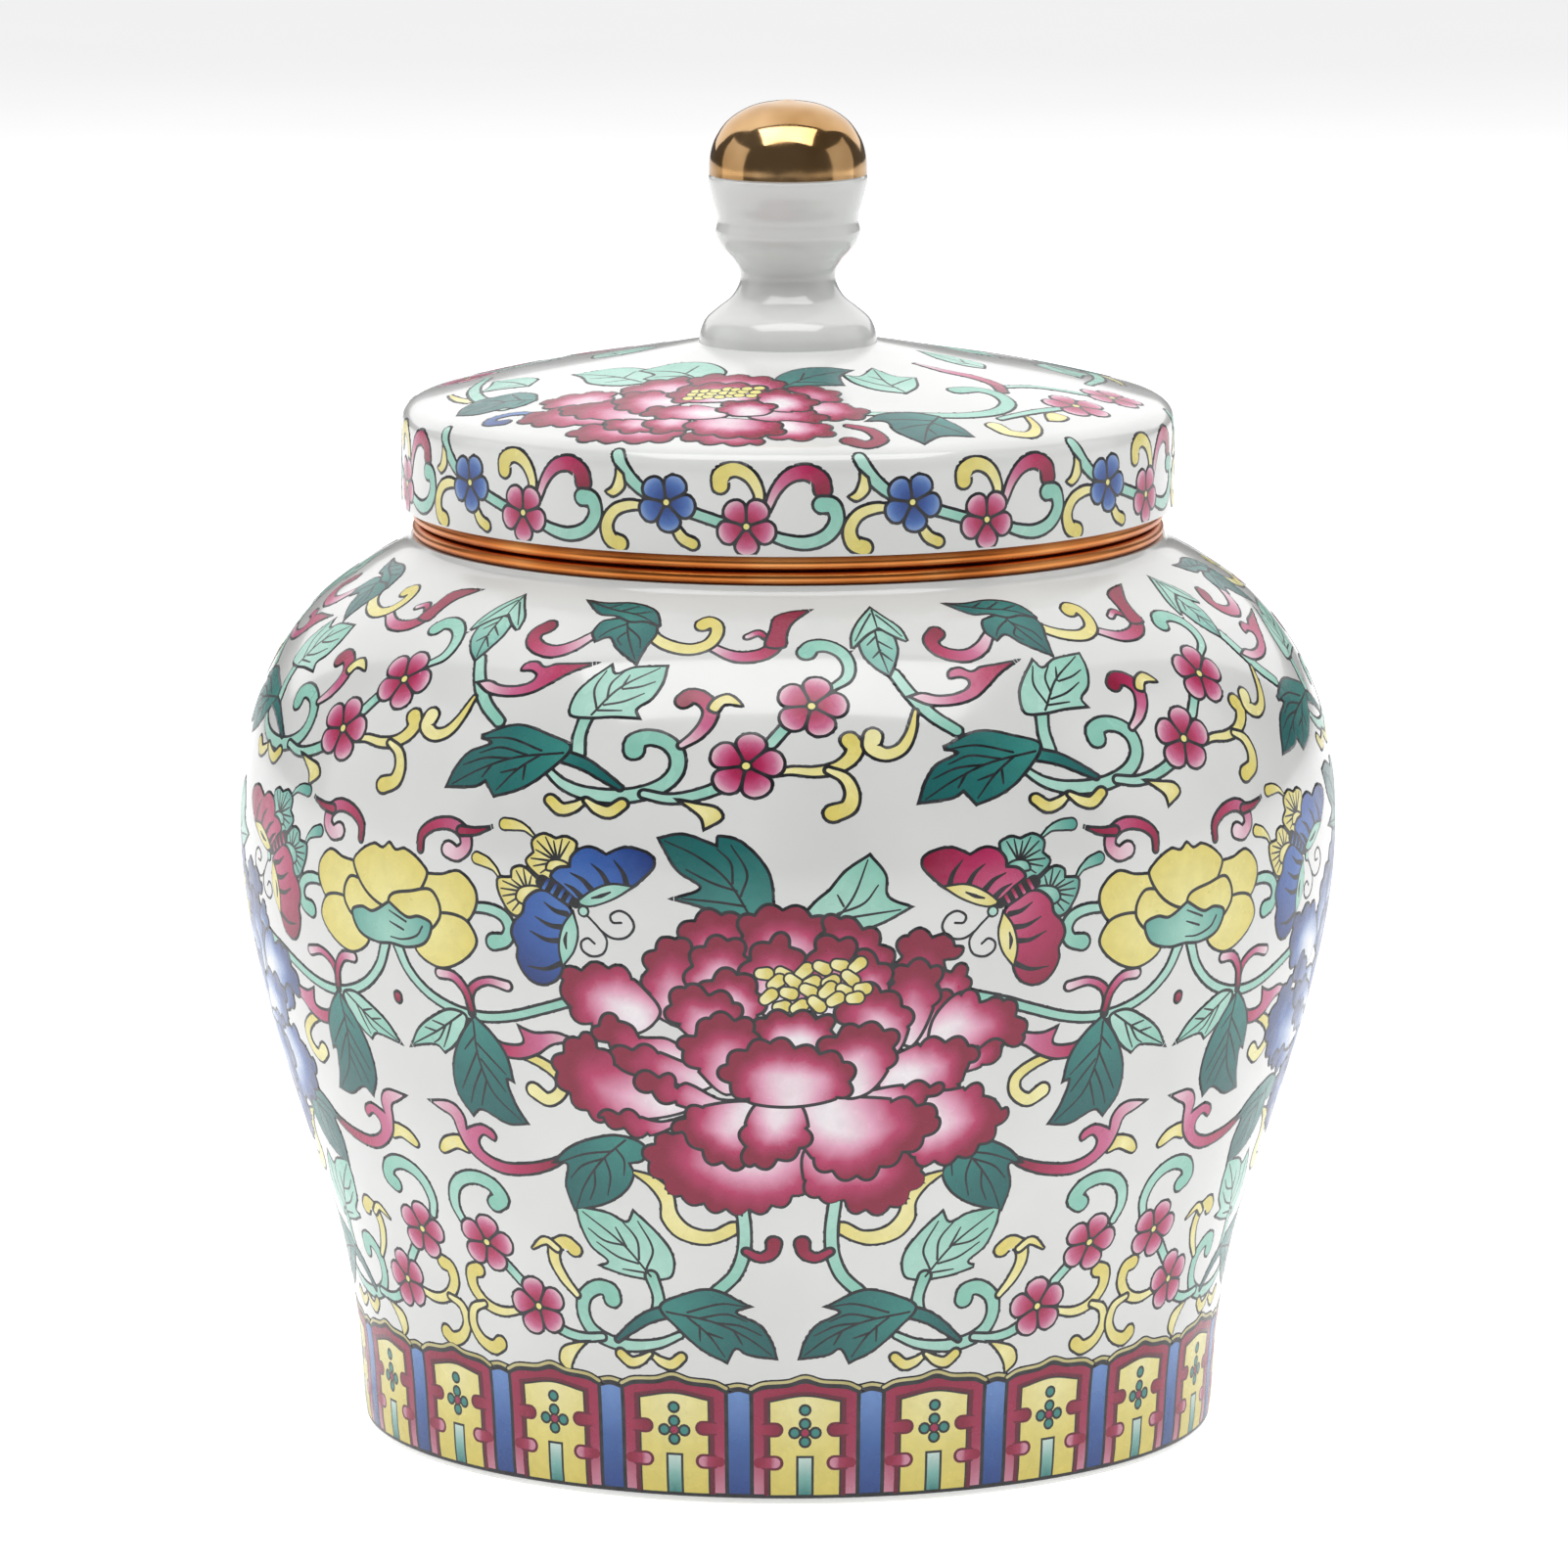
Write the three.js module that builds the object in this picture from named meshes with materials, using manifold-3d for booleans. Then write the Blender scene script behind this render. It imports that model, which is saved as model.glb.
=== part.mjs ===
// A porcelain ginger jar with a screw lid. Millimetres, +Z up, origin on the middle of the foot.
// The jar and the lid are porcelain. Each has a metal ring cemented to it, and the rings screw together
// with a silicone gasket between them. A hollow finial with a gilded crown stands on the lid.
import * as THREE from 'three';
import { mergeVertices } from 'three/addons/utils/BufferGeometryUtils.js';
import Module from 'manifold-3d';

const wasm = await Module();
wasm.setup();

// Driving dimensions.
const SIDES = 40; // facets round the jar, the lid and the rings
const KNOB_SIDES = 28; // facets round the finial
const WALL = 4.0; // porcelain thickness
const FOOT_RECESS = 5; // height of the hollow under the foot
const FLOOR_THICKNESS = 5;
const RECESS_R = 58.5; // radius of that hollow
const FOOT_INNER_R = 62; // the ring that the jar stands on
const FOOT_OUTER_R = 68.4;
const FOOT_EDGE = [69.9, 4]; // where the foot ring meets the painted wall
const FOOT_SEAM = 18; // heights of the seams between the thrown sections
const BELLY_SEAM = 70;
const SHOULDER_SEAM = 116;
const SHOULDER_TOP = 147.4; // the flat seat that the neck ring stands on
const NECK_OUTER_R = 55.4;
const NECK_TOP = 158.0;
const THROAT_TOP = 150; // where the inside becomes a straight neck
const MOUTH_BEVEL = 0.8;
const CEMENT = 0.4; // thickness of each cement bed
const METAL = 0.8; // thickness of the metal rings
const BEAD_R = 61.4; // both beads share one outer radius
const BEAD_HEIGHT = 2.1;
const RING_GAP = 0.3; // between the two beads
const THREAD_LEAD = 6; // rise of the lid in one turn
const THREAD_DEPTH = 1.3;
const THREAD_CLEARANCE = 0.5; // from each thread's crest to the other ring's sleeve
const THREAD_START_Z = 151.4; // height of the middle of the neck's thread where it begins
const THREAD_OFFSET = 1.6; // how far the lid's thread runs below the neck's
const GASKET_THICKNESS = 1.4;
const GASKET_INNER_R = 53.6;
const GASKET_OUTER_R = 57.6;
const FLANGE_INNER_R = 53; // both rings' flanges
const RIM_R = 63.1; // outer radius of the lid's upright rim
const RIM_BOTTOM = 152.2;
const RIM_BEVEL = 0.4;
const LID_INNER_TOP = 163.6; // where the lid's inner wall meets the dome
const VENT_R = 3; // hole in the lid below the hollow finial
const KNOB_HOLLOW_R = 6; // the finial's hollow where it opens on to the lid
const KNOB_FOOT_R = 14.5;
const KNOB_FOOT_Z = 178.7;
const GILT_FROM = 206.2; // height of the gilded crown's lower edge
const GILT_THICKNESS = 0.3;

// Worked out from those.
const FLOOR_TOP = FOOT_RECESS + FLOOR_THICKNESS;
const NECK_INNER_R = NECK_OUTER_R - WALL;
const COLLAR_INNER_R = NECK_OUTER_R + CEMENT;
const COLLAR_OUTER_R = COLLAR_INNER_R + METAL;
const COLLAR_TOP = NECK_TOP + METAL;
const GASKET_TOP = COLLAR_TOP + GASKET_THICKNESS;
const LID_RING_INNER_R = COLLAR_OUTER_R + THREAD_DEPTH + THREAD_CLEARANCE;
const LID_RING_OUTER_R = LID_RING_INNER_R + METAL;
const LID_RING_BOTTOM = SHOULDER_TOP + BEAD_HEIGHT + RING_GAP;
const LID_RING_TOP = GASKET_TOP + METAL;
const LID_INNER_R = LID_RING_OUTER_R + CEMENT;

function points(pairs) {
  return pairs.map(([r, z]) => new THREE.Vector2(r, z));
}

// A quarter or half round, centred at [r, z], from one angle to another in degrees.
function arc(r, z, radius, from, to, steps) {
  const line = [];
  for (let i = 0; i <= steps; i += 1) {
    const angle = THREE.MathUtils.degToRad(from + ((to - from) * i) / steps);
    line.push(new THREE.Vector2(r + radius * Math.cos(angle), z + radius * Math.sin(angle)));
  }
  return line;
}

// A line moved sideways into the wall, towards the axis where the line runs upwards.
function inset(line, distance) {
  return line.map((p, i) => {
    const before = line[Math.max(i - 1, 0)];
    const after = line[Math.min(i + 1, line.length - 1)];
    const along = after.clone().sub(before).normalize();
    return new THREE.Vector2(p.x - along.y * distance, p.y + along.x * distance);
  });
}

// Turns a profile of [radius, height] points, listed anticlockwise, about +Z. It closes on itself.
function turned(profile, sides = SIDES) {
  const closed = [...profile, profile[0].clone()];
  const geometry = new THREE.LatheGeometry(closed, sides);
  geometry.rotateX(Math.PI / 2);
  return bare(geometry);
}

// Keeps positions only, with shared vertices merged and slivers of no area removed.
function bare(geometry) {
  geometry.deleteAttribute('normal');
  geometry.deleteAttribute('uv');
  const merged = mergeVertices(geometry, 1e-4);
  const index = merged.index.array;
  const kept = [];
  for (let i = 0; i < index.length; i += 3) {
    const [a, b, c] = [index[i], index[i + 1], index[i + 2]];
    if (a !== b && b !== c && c !== a) kept.push(a, b, c);
  }
  merged.setIndex(kept);
  return merged;
}

function solid(geometry) {
  return new wasm.Manifold(new wasm.Mesh({
    numProp: 3,
    vertProperties: geometry.attributes.position.array,
    triVerts: new Uint32Array(geometry.index.array),
  }));
}

function joined(first, second) {
  const mesh = solid(first).add(solid(second)).getMesh();
  const geometry = new THREE.BufferGeometry();
  geometry.setAttribute('position', new THREE.BufferAttribute(mesh.vertProperties, 3));
  geometry.setIndex([...mesh.triVerts]);
  return geometry;
}

// One turn of a right-hand thread, as a ridge standing from rootR towards crestR. Its middle starts at
// startZ and at the angle startDeg, and both its ends run out to nothing over RUNOUT steps.
function threadRidge(rootR, crestR, startZ, startDeg) {
  const ROOT_HALF = 0.9;
  const CREST_HALF = 0.4;
  const RUNOUT = 4;
  const LOWEST = 0.02; // share of the depth that is left at each end
  const SECTION_CORNERS = 6;
  const outward = Math.sign(crestR - rootR);
  const buried = rootR - (outward * METAL) / 2;
  const position = [];
  const index = [];
  for (let i = 0; i <= SIDES; i += 1) {
    const full = Math.min(1, Math.min(i, SIDES - i) / RUNOUT);
    const crest = rootR + (crestR - rootR) * Math.max(full, LOWEST);
    const angle = THREE.MathUtils.degToRad(startDeg) + (2 * Math.PI * i) / SIDES;
    const z = startZ + (THREAD_LEAD * i) / SIDES;
    const section = [
      [buried, z - ROOT_HALF],
      [rootR, z - ROOT_HALF],
      [crest, z - CREST_HALF],
      [crest, z + CREST_HALF],
      [rootR, z + ROOT_HALF],
      [buried, z + ROOT_HALF],
    ];
    if (outward < 0) section.reverse();
    for (const [r, height] of section) {
      position.push(r * Math.cos(angle), r * Math.sin(angle), height);
    }
  }
  const around = SECTION_CORNERS;
  for (let i = 0; i < SIDES; i += 1) {
    for (let k = 0; k < around; k += 1) {
      const a = i * around + k;
      const b = i * around + ((k + 1) % around);
      index.push(a, b + around, b, a, a + around, b + around);
    }
  }
  const last = SIDES * around;
  for (let k = 1; k < around - 1; k += 1) {
    index.push(0, k, k + 1);
    index.push(last, last + k + 1, last + k);
  }
  const geometry = new THREE.BufferGeometry();
  geometry.setAttribute('position', new THREE.BufferAttribute(new Float32Array(position), 3));
  geometry.setIndex(index);
  return geometry;
}

function piece(name, geometry, finish) {
  const mesh = new THREE.Mesh(geometry, new THREE.MeshStandardMaterial(finish));
  mesh.name = name;
  return mesh;
}

// The jar's outside and inside from the bottom up: a low foot, a body that swells to its greatest radius
// high up, a round shoulder and a short neck.
const OUTSIDE = points([
  FOOT_EDGE, [71, 18], [74, 34], [79.8, 52], [85.2, 70], [88.9, 88], [89.7, 103], [88, 116],
  [83.8, 127], [77.1, 136], [69.2, 142], [64.2, 144.9], [62.2, 146.2], [61.6, SHOULDER_TOP],
]);
const INSIDE = [
  ...points([[RECESS_R, FLOOR_TOP], [63, FLOOR_TOP + 3]]),
  ...inset(OUTSIDE.slice(0, 12), WALL).slice(1),
  ...points([[54.5, 146.2], [NECK_INNER_R, THROAT_TOP]]),
];

// The part of a line that rises from one height to another, with new points at both ends.
function between(line, bottom, top) {
  const LEVEL = 1e-6; // heights closer than this are the same
  const crossing = (z) => {
    const i = line.findIndex((p) => p.y >= z - LEVEL);
    const upper = line[i];
    const lower = line[Math.max(i - 1, 0)];
    const share = upper.y === lower.y ? 0 : (z - lower.y) / (upper.y - lower.y);
    return new THREE.Vector2(lower.x + (upper.x - lower.x) * share, z);
  };
  const middle = line.filter((p) => p.y > bottom + LEVEL && p.y < top - LEVEL);
  return [crossing(bottom), ...middle, crossing(top)];
}

// Part of the jar's wall. Its sections meet face to face and make one wall.
function wallSection(bottom, top) {
  return turned([...between(OUTSIDE, bottom, top), ...between(INSIDE, bottom, top).reverse()]);
}

function jarFloor() {
  return turned(points([[0, FOOT_RECESS], [RECESS_R, FOOT_RECESS], [RECESS_R, FLOOR_TOP], [0, FLOOR_TOP]]));
}

function jarFoot() {
  return turned([
    ...points([[RECESS_R, FOOT_RECESS], [FOOT_INNER_R - 1, FOOT_RECESS - 1], [FOOT_INNER_R, 0]]),
    ...points([[FOOT_OUTER_R, 0], [FOOT_OUTER_R + 1.1, 1.1]]),
    ...between(OUTSIDE, FOOT_EDGE[1], FOOT_SEAM),
    ...between(INSIDE, FLOOR_TOP, FOOT_SEAM).reverse(),
  ]);
}

function jarNeck() {
  return turned([
    ...points([[NECK_OUTER_R, SHOULDER_TOP], [NECK_OUTER_R, NECK_TOP]]),
    ...points([[NECK_INNER_R + MOUTH_BEVEL, NECK_TOP], [NECK_INNER_R, NECK_TOP - MOUTH_BEVEL]]),
    ...between(INSIDE, SHOULDER_TOP, THROAT_TOP).reverse(),
  ]);
}

function tube(innerR, outerR, bottom, top) {
  return turned(points([[innerR, bottom], [outerR, bottom], [outerR, top], [innerR, top]]));
}

// A spun ring: a sleeve with a rolled bead at its foot and a flange turned in at its top.
function spunRing(innerR, bottom, top) {
  const outerR = innerR + METAL;
  const half = BEAD_HEIGHT / 2;
  return turned([
    ...points([[innerR, bottom]]),
    ...arc(BEAD_R - half, bottom + half, half, -90, 90, 4),
    ...points([[outerR, bottom + BEAD_HEIGHT], [outerR, top]]),
    ...points([[FLANGE_INNER_R, top], [FLANGE_INNER_R, top - METAL], [innerR, top - METAL]]),
  ]);
}

// The neck ring is cemented round the neck, and its thread stands out from it.
function neckRing() {
  const thread = threadRidge(COLLAR_OUTER_R, COLLAR_OUTER_R + THREAD_DEPTH, THREAD_START_Z, 0);
  return joined(spunRing(COLLAR_INNER_R, SHOULDER_TOP, COLLAR_TOP), thread);
}

// The lid ring is cemented into the lid, and its thread stands in from it.
function lidRing() {
  const START_DEG = 90; // where the lid's thread begins, high enough to stay on its sleeve
  const startZ = THREAD_START_Z - THREAD_OFFSET + (THREAD_LEAD * START_DEG) / 360;
  const thread = threadRidge(LID_RING_INNER_R, LID_RING_INNER_R - THREAD_DEPTH, startZ, START_DEG);
  return joined(spunRing(LID_RING_INNER_R, LID_RING_BOTTOM, LID_RING_TOP), thread);
}

// The lid: an upright rim, a rounded corner and a low, nearly straight dome with a flat for the finial.
function lidShell() {
  const corner = points([[RIM_R, 165], [62.9, 167], [61.9, 168.4]]);
  const dome = points([[60, 169.3], [46, 172.7], [30, 175.7], [KNOB_FOOT_R, KNOB_FOOT_Z]]);
  return turned([
    ...points([[VENT_R, KNOB_FOOT_Z - WALL]]),
    ...inset(dome, WALL).reverse(),
    ...points([[LID_INNER_R, LID_INNER_TOP], [LID_INNER_R, RIM_BOTTOM]]),
    ...points([[RIM_R - RIM_BEVEL, RIM_BOTTOM], [RIM_R, RIM_BOTTOM + RIM_BEVEL]]),
    ...corner,
    ...dome,
    ...points([[VENT_R, KNOB_FOOT_Z]]),
  ]);
}

// The finial's outside: a spreading foot, a waist, a small bead and a bud. The crown is gilded.
const STEM = [
  [KNOB_FOOT_R, KNOB_FOOT_Z], [14.3, 180.4], [13.4, 182.4], [11.4, 184.2], [9.2, 186], [7.9, 188.4],
  [7.9, 190.4], [9.1, 192.4], [10.9, 194.4], [11.8, 196.6], [11.5, 198.8], [12.2, 201.6], [12.9, 204.4],
];
const CROWN = [
  [12.9, GILT_FROM], [12.7, 209.2], [11.8, 212], [9.6, 215], [5.6, 217.3], [0, 218.3],
];

// The crown's line moved towards its centre, for the porcelain that lies under the gilding.
function underGilding() {
  return points(CROWN).map((p) => {
    const reach = Math.hypot(p.x, p.y - GILT_FROM);
    const scale = (reach - GILT_THICKNESS) / reach;
    return new THREE.Vector2(p.x * scale, GILT_FROM + (p.y - GILT_FROM) * scale);
  });
}

// The finial is hollow, and its hollow opens into the lid's vent.
function lidKnob() {
  const hollow = points([
    [0, 214.8], [6.4, 213.2], [10, 206.5], [9.1, 201.5], [8.8, 196.4], [5, 191.6],
    [5, 187.8], [KNOB_HOLLOW_R, KNOB_FOOT_Z],
  ]);
  return turned([...points(STEM), ...underGilding(), ...hollow], KNOB_SIDES);
}

function knobGilding() {
  return turned([...points(CROWN), ...underGilding().reverse()], KNOB_SIDES);
}

const PORCELAIN = { color: 0xf1f1ee, roughness: 0.12, metalness: 0 };
const COPPER_GOLD = { color: 0xb5692d, roughness: 0.3, metalness: 1 };
const CEMENT_GREY = { color: 0xd8d2c4, roughness: 0.8, metalness: 0 };
const SILICONE = { color: 0xe4e2dc, roughness: 0.6, metalness: 0 };
const BRIGHT_GOLD = { color: 0xb98f5a, roughness: 0.15, metalness: 1 };

const jar = new THREE.Group();
jar.add(piece('jar_floor', jarFloor(), PORCELAIN));
jar.add(piece('jar_foot', jarFoot(), PORCELAIN));
jar.add(piece('jar_belly', wallSection(FOOT_SEAM, BELLY_SEAM), PORCELAIN));
jar.add(piece('jar_upper_belly', wallSection(BELLY_SEAM, SHOULDER_SEAM), PORCELAIN));
jar.add(piece('jar_shoulder', wallSection(SHOULDER_SEAM, SHOULDER_TOP), PORCELAIN));
jar.add(piece('jar_neck', jarNeck(), PORCELAIN));
jar.add(piece('neck_cement', tube(NECK_OUTER_R, COLLAR_INNER_R, SHOULDER_TOP, NECK_TOP), CEMENT_GREY));
jar.add(piece('neck_ring', neckRing(), COPPER_GOLD));

const lid = new THREE.Group();
lid.add(piece('lid_gasket', tube(GASKET_INNER_R, GASKET_OUTER_R, COLLAR_TOP, GASKET_TOP), SILICONE));
lid.add(piece('lid_ring', lidRing(), COPPER_GOLD));
lid.add(piece('lid_cement', tube(LID_RING_OUTER_R, LID_INNER_R, RIM_BOTTOM, LID_RING_TOP), CEMENT_GREY));
lid.add(piece('lid_shell', lidShell(), PORCELAIN));
lid.add(piece('lid_knob', lidKnob(), PORCELAIN));
lid.add(piece('knob_gilding', knobGilding(), BRIGHT_GOLD));

const gingerJar = new THREE.Group();
gingerJar.add(jar, lid);

export default gingerJar;
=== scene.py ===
"""A painted porcelain ginger jar. The jar and the lid turn about +Z, and the front faces -Y.

Lengths in this script are in millimetres and angles in degrees, until MM turns them into metres. The
enamels are drawn flat, one repeat of each band at a time, and are then laid on the glaze.
"""

import math

import bpy
import numpy as np
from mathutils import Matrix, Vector
from mathutils.geometry import delaunay_2d_cdt


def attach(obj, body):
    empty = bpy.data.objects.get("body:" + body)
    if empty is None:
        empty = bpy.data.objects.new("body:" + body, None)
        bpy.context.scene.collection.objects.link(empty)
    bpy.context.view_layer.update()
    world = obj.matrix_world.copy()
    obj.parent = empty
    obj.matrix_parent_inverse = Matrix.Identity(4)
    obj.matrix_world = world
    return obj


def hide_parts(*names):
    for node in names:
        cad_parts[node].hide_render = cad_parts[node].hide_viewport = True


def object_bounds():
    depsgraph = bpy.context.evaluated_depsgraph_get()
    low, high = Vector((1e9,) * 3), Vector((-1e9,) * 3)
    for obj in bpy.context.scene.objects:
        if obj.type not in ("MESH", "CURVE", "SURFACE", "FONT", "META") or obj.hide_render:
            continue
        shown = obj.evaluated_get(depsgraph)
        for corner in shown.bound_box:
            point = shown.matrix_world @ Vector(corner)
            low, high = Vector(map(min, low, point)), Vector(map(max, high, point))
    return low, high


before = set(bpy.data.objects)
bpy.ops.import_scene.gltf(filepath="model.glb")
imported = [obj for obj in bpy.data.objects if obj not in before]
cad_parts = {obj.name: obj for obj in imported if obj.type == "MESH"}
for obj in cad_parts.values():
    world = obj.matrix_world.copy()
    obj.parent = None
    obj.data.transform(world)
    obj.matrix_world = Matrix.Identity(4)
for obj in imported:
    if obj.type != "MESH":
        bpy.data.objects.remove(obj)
CAD_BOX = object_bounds()

JAR_HEIGHT = 218.3
MM = CAD_BOX[1].z / JAR_HEIGHT  # metres in one millimetre of the jar

# Driving dimensions.
SIDES = 288  # facets round every turned piece
WALL = 4.0
SEAT_Z = 147.4  # the flat that the neck ring stands on
NECK_OUTER_R = 55.4
NECK_INNER_R = 51.4
NECK_TOP = 158.0
RIM_R = 63.1
RIM_BOTTOM = 152.2
KNOB_FOOT = (14.5, 178.7)
GILT_FROM = 206.2
GILT_THICKNESS = 0.3
LINE_WIDTH = 0.56  # of the black outlines
VEIN_WIDTH = 0.4
ENAMEL_RELIEF = 0.07  # how far the enamels stand above the glaze
BURIED = 0.012  # how far the outer edge of an outline is sunk in the glaze
TIP = True  # marks a point where an outline has a corner

# Radius and height of the outside of the jar's body, from the foot to the shoulder.
BODY_KNOTS = [
    (69.9, 4), (71, 18), (74, 34), (79.8, 52), (85.2, 70), (88.9, 88), (89.7, 103), (88, 116),
    (83.8, 127), (77.1, 136), (69.2, 142), (64.2, 144.9), (62.2, 146.2), (61.6, SEAT_Z),
]
LID_KNOTS = [
    (RIM_R, RIM_BOTTOM + 0.4, TIP), (RIM_R, 160), (RIM_R, 165, TIP), (62.9, 167), (61.9, 168.4),
    (60, 169.3), (46, 172.7), (30, 175.7), KNOB_FOOT,
]
STEM_KNOTS = [
    KNOB_FOOT, (14.3, 180.4), (13.4, 182.4), (11.4, 184.2), (9.2, 186), (7.9, 188.4), (7.9, 190.4),
    (9.1, 192.4), (10.9, 194.4), (11.8, 196.6), (11.5, 198.8), (12.2, 201.6), (12.9, 204.4),
              (12.9, GILT_FROM),
]
CROWN_KNOTS = [(12.9, GILT_FROM), (12.7, 209.2), (11.8, 212), (9.6, 215), (5.6, 217.3), (0, JAR_HEIGHT)]


# ---------------------------------------------------------------- lines and turned pieces


def smooth(points, closed=False, step=0.6):
    """A smooth line through the points, as an array. A point with a third item is a corner."""
    knots = np.array([p[:2] for p in points], float)
    corner = [len(p) > 2 for p in points]
    count = len(knots)
    spans = count if closed else count - 1
    line = []
    for i in range(spans):
        j = (i + 1) % count
        a, b = knots[i], knots[j]
        reach = np.linalg.norm(b - a)
        start = finish = b - a
        if not corner[i] and (closed or i > 0):
            before = knots[i - 1]
            start = (b - before) * reach / (reach + np.linalg.norm(a - before))
        if not corner[j] and (closed or i < spans - 1):
            after = knots[(i + 2) % count]
            finish = (after - a) * reach / (reach + np.linalg.norm(after - b))
        pieces = max(2, math.ceil(reach / step))
        t = np.arange(pieces)[:, None] / pieces
        line.append(
            a * (2 * t**3 - 3 * t**2 + 1)
            + start * (t**3 - 2 * t**2 + t)
            + b * (3 * t**2 - 2 * t**3)
            + finish * (t**3 - t**2)
        )
    if not closed:
        line.append(knots[-1:])
    return np.vstack(line)


def arc(centre, radius, start, end, steps=10):
    angles = np.radians(np.linspace(start, end, steps + 1))
    return np.array(centre) + radius * np.stack([np.cos(angles), np.sin(angles)], 1)


def sideways(line):
    """Unit vectors to the right of an open line, at each of its points."""
    along = np.gradient(line, axis=0)
    along /= np.linalg.norm(along, axis=1)[:, None]
    return np.stack([along[:, 1], -along[:, 0]], 1)


def add_mesh(name, vertices, faces, sharp=40):
    mesh = bpy.data.meshes.new(name)
    mesh.from_pydata([tuple(v) for v in vertices], [], faces)
    mesh.update()
    mesh.shade_smooth()
    if sharp:
        mesh.set_sharp_from_angle(angle=math.radians(sharp))
    piece = bpy.data.objects.new(name, mesh)
    bpy.context.scene.collection.objects.link(piece)
    return piece


def turned(name, profile):
    """Turns a closed profile of (radius, height), listed anticlockwise, about +Z."""
    profile = np.array(profile, float)
    vertices = []
    rows = []
    for r, z in profile:
        if r < 1e-6:
            rows.append([len(vertices)] * SIDES)
            vertices.append((0, 0, z * MM))
            continue
        rows.append(list(range(len(vertices), len(vertices) + SIDES)))
        for k in range(SIDES):
            angle = 2 * math.pi * k / SIDES
            vertices.append((r * math.cos(angle) * MM, r * math.sin(angle) * MM, z * MM))
    faces = []
    for i, row in enumerate(rows):
        above = rows[(i + 1) % len(rows)]
        if row[0] == row[1] and above[0] == above[1]:
            continue
        for k in range(SIDES):
            n = (k + 1) % SIDES
            face = [row[k], row[n], above[n], above[k]]
            face = [v for j, v in enumerate(face) if v != face[j - 1]]
            faces.append(face)
    return add_mesh(name, vertices, faces)


def place(piece, body, slot, material, *nodes):
    piece.data.materials.append(material)
    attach(piece, body)
    if nodes:
        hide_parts(*nodes)
    return piece


# ---------------------------------------------------------------- materials


def linear(code):
    """A colour such as '9c1f45' as linear red, green, blue."""
    values = [int(code[i : i + 2], 16) / 255 for i in (0, 2, 4)]
    return [v / 12.92 if v <= 0.04045 else ((v + 0.055) / 1.055) ** 2.4 for v in values]


def new_material(name, roughness, metallic=0.0, coat=0.0):
    material = bpy.data.materials.new(name)
    material.use_nodes = True
    tree = material.node_tree
    shader = tree.nodes["Principled BSDF"]
    shader.inputs["Roughness"].default_value = roughness
    shader.inputs["Metallic"].default_value = metallic
    shader.inputs["Coat Weight"].default_value = coat
    shader.inputs["Coat Roughness"].default_value = 0.05
    return material, tree, shader


def noise(tree, scale, detail=2.0, stretch=None):
    """A noise texture in object space, in cycles per metre, stretched by the factors given."""
    place_node = tree.nodes.new("ShaderNodeTexCoord")
    texture = tree.nodes.new("ShaderNodeTexNoise")
    texture.inputs["Scale"].default_value = scale
    texture.inputs["Detail"].default_value = detail
    source = place_node.outputs["Object"]
    if stretch:
        mapping = tree.nodes.new("ShaderNodeMapping")
        mapping.inputs["Scale"].default_value = stretch
        tree.links.new(source, mapping.inputs["Vector"])
        source = mapping.outputs["Vector"]
    tree.links.new(source, texture.inputs["Vector"])
    return texture.outputs["Fac"]


def ramp(tree, value, stops):
    """Colours along a value. Each stop is (position, linear colour)."""
    node = tree.nodes.new("ShaderNodeValToRGB")
    for element, (position, colour) in zip(node.color_ramp.elements, (stops[0], stops[-1])):
        element.position = position
        element.color = (*colour, 1)
    for position, colour in stops[1:-1]:
        node.color_ramp.elements.new(position).color = (*colour, 1)
    tree.links.new(value, node.inputs["Fac"])
    return node.outputs["Color"]


def spread(tree, value, low, high):
    """Maps a noise value from its usual range onto low to high."""
    node = tree.nodes.new("ShaderNodeMapRange")
    node.inputs["From Min"].default_value = 0.3
    node.inputs["From Max"].default_value = 0.7
    node.inputs["To Min"].default_value = low
    node.inputs["To Max"].default_value = high
    tree.links.new(value, node.inputs["Value"])
    return node.outputs["Result"]


def add_bump(tree, shader, value, distance, strength=1.0):
    bump = tree.nodes.new("ShaderNodeBump")
    bump.inputs["Distance"].default_value = distance
    bump.inputs["Strength"].default_value = strength
    tree.links.new(value, bump.inputs["Height"])
    tree.links.new(bump.outputs["Normal"], shader.inputs["Normal"])


def glaze():
    """A clear glaze over white porcelain, with a faint cloudiness and a soft ripple."""
    material, tree, shader = new_material("porcelain_glaze", 0.14, coat=0.35)
    cloud = ramp(tree, noise(tree, 35), [(0.35, linear("d9dad8")), (0.65, linear("e1e2e0"))])
    tree.links.new(cloud, shader.inputs["Base Color"])
    tree.links.new(spread(tree, noise(tree, 60), 0.11, 0.19), shader.inputs["Roughness"])
    add_bump(tree, shader, noise(tree, 55, 1.0), 0.00025, 0.25)
    return material


def bare_porcelain():
    """The unglazed foot ring, warmer and rough."""
    material, tree, shader = new_material("bare_porcelain", 0.75)
    grain = noise(tree, 2500, 3.0)
    colour = ramp(tree, noise(tree, 120), [(0.3, linear("d9d2c6")), (0.7, linear("e8e3d9"))])
    tree.links.new(colour, shader.inputs["Base Color"])
    add_bump(tree, shader, grain, 0.00008, 0.6)
    return material


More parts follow.
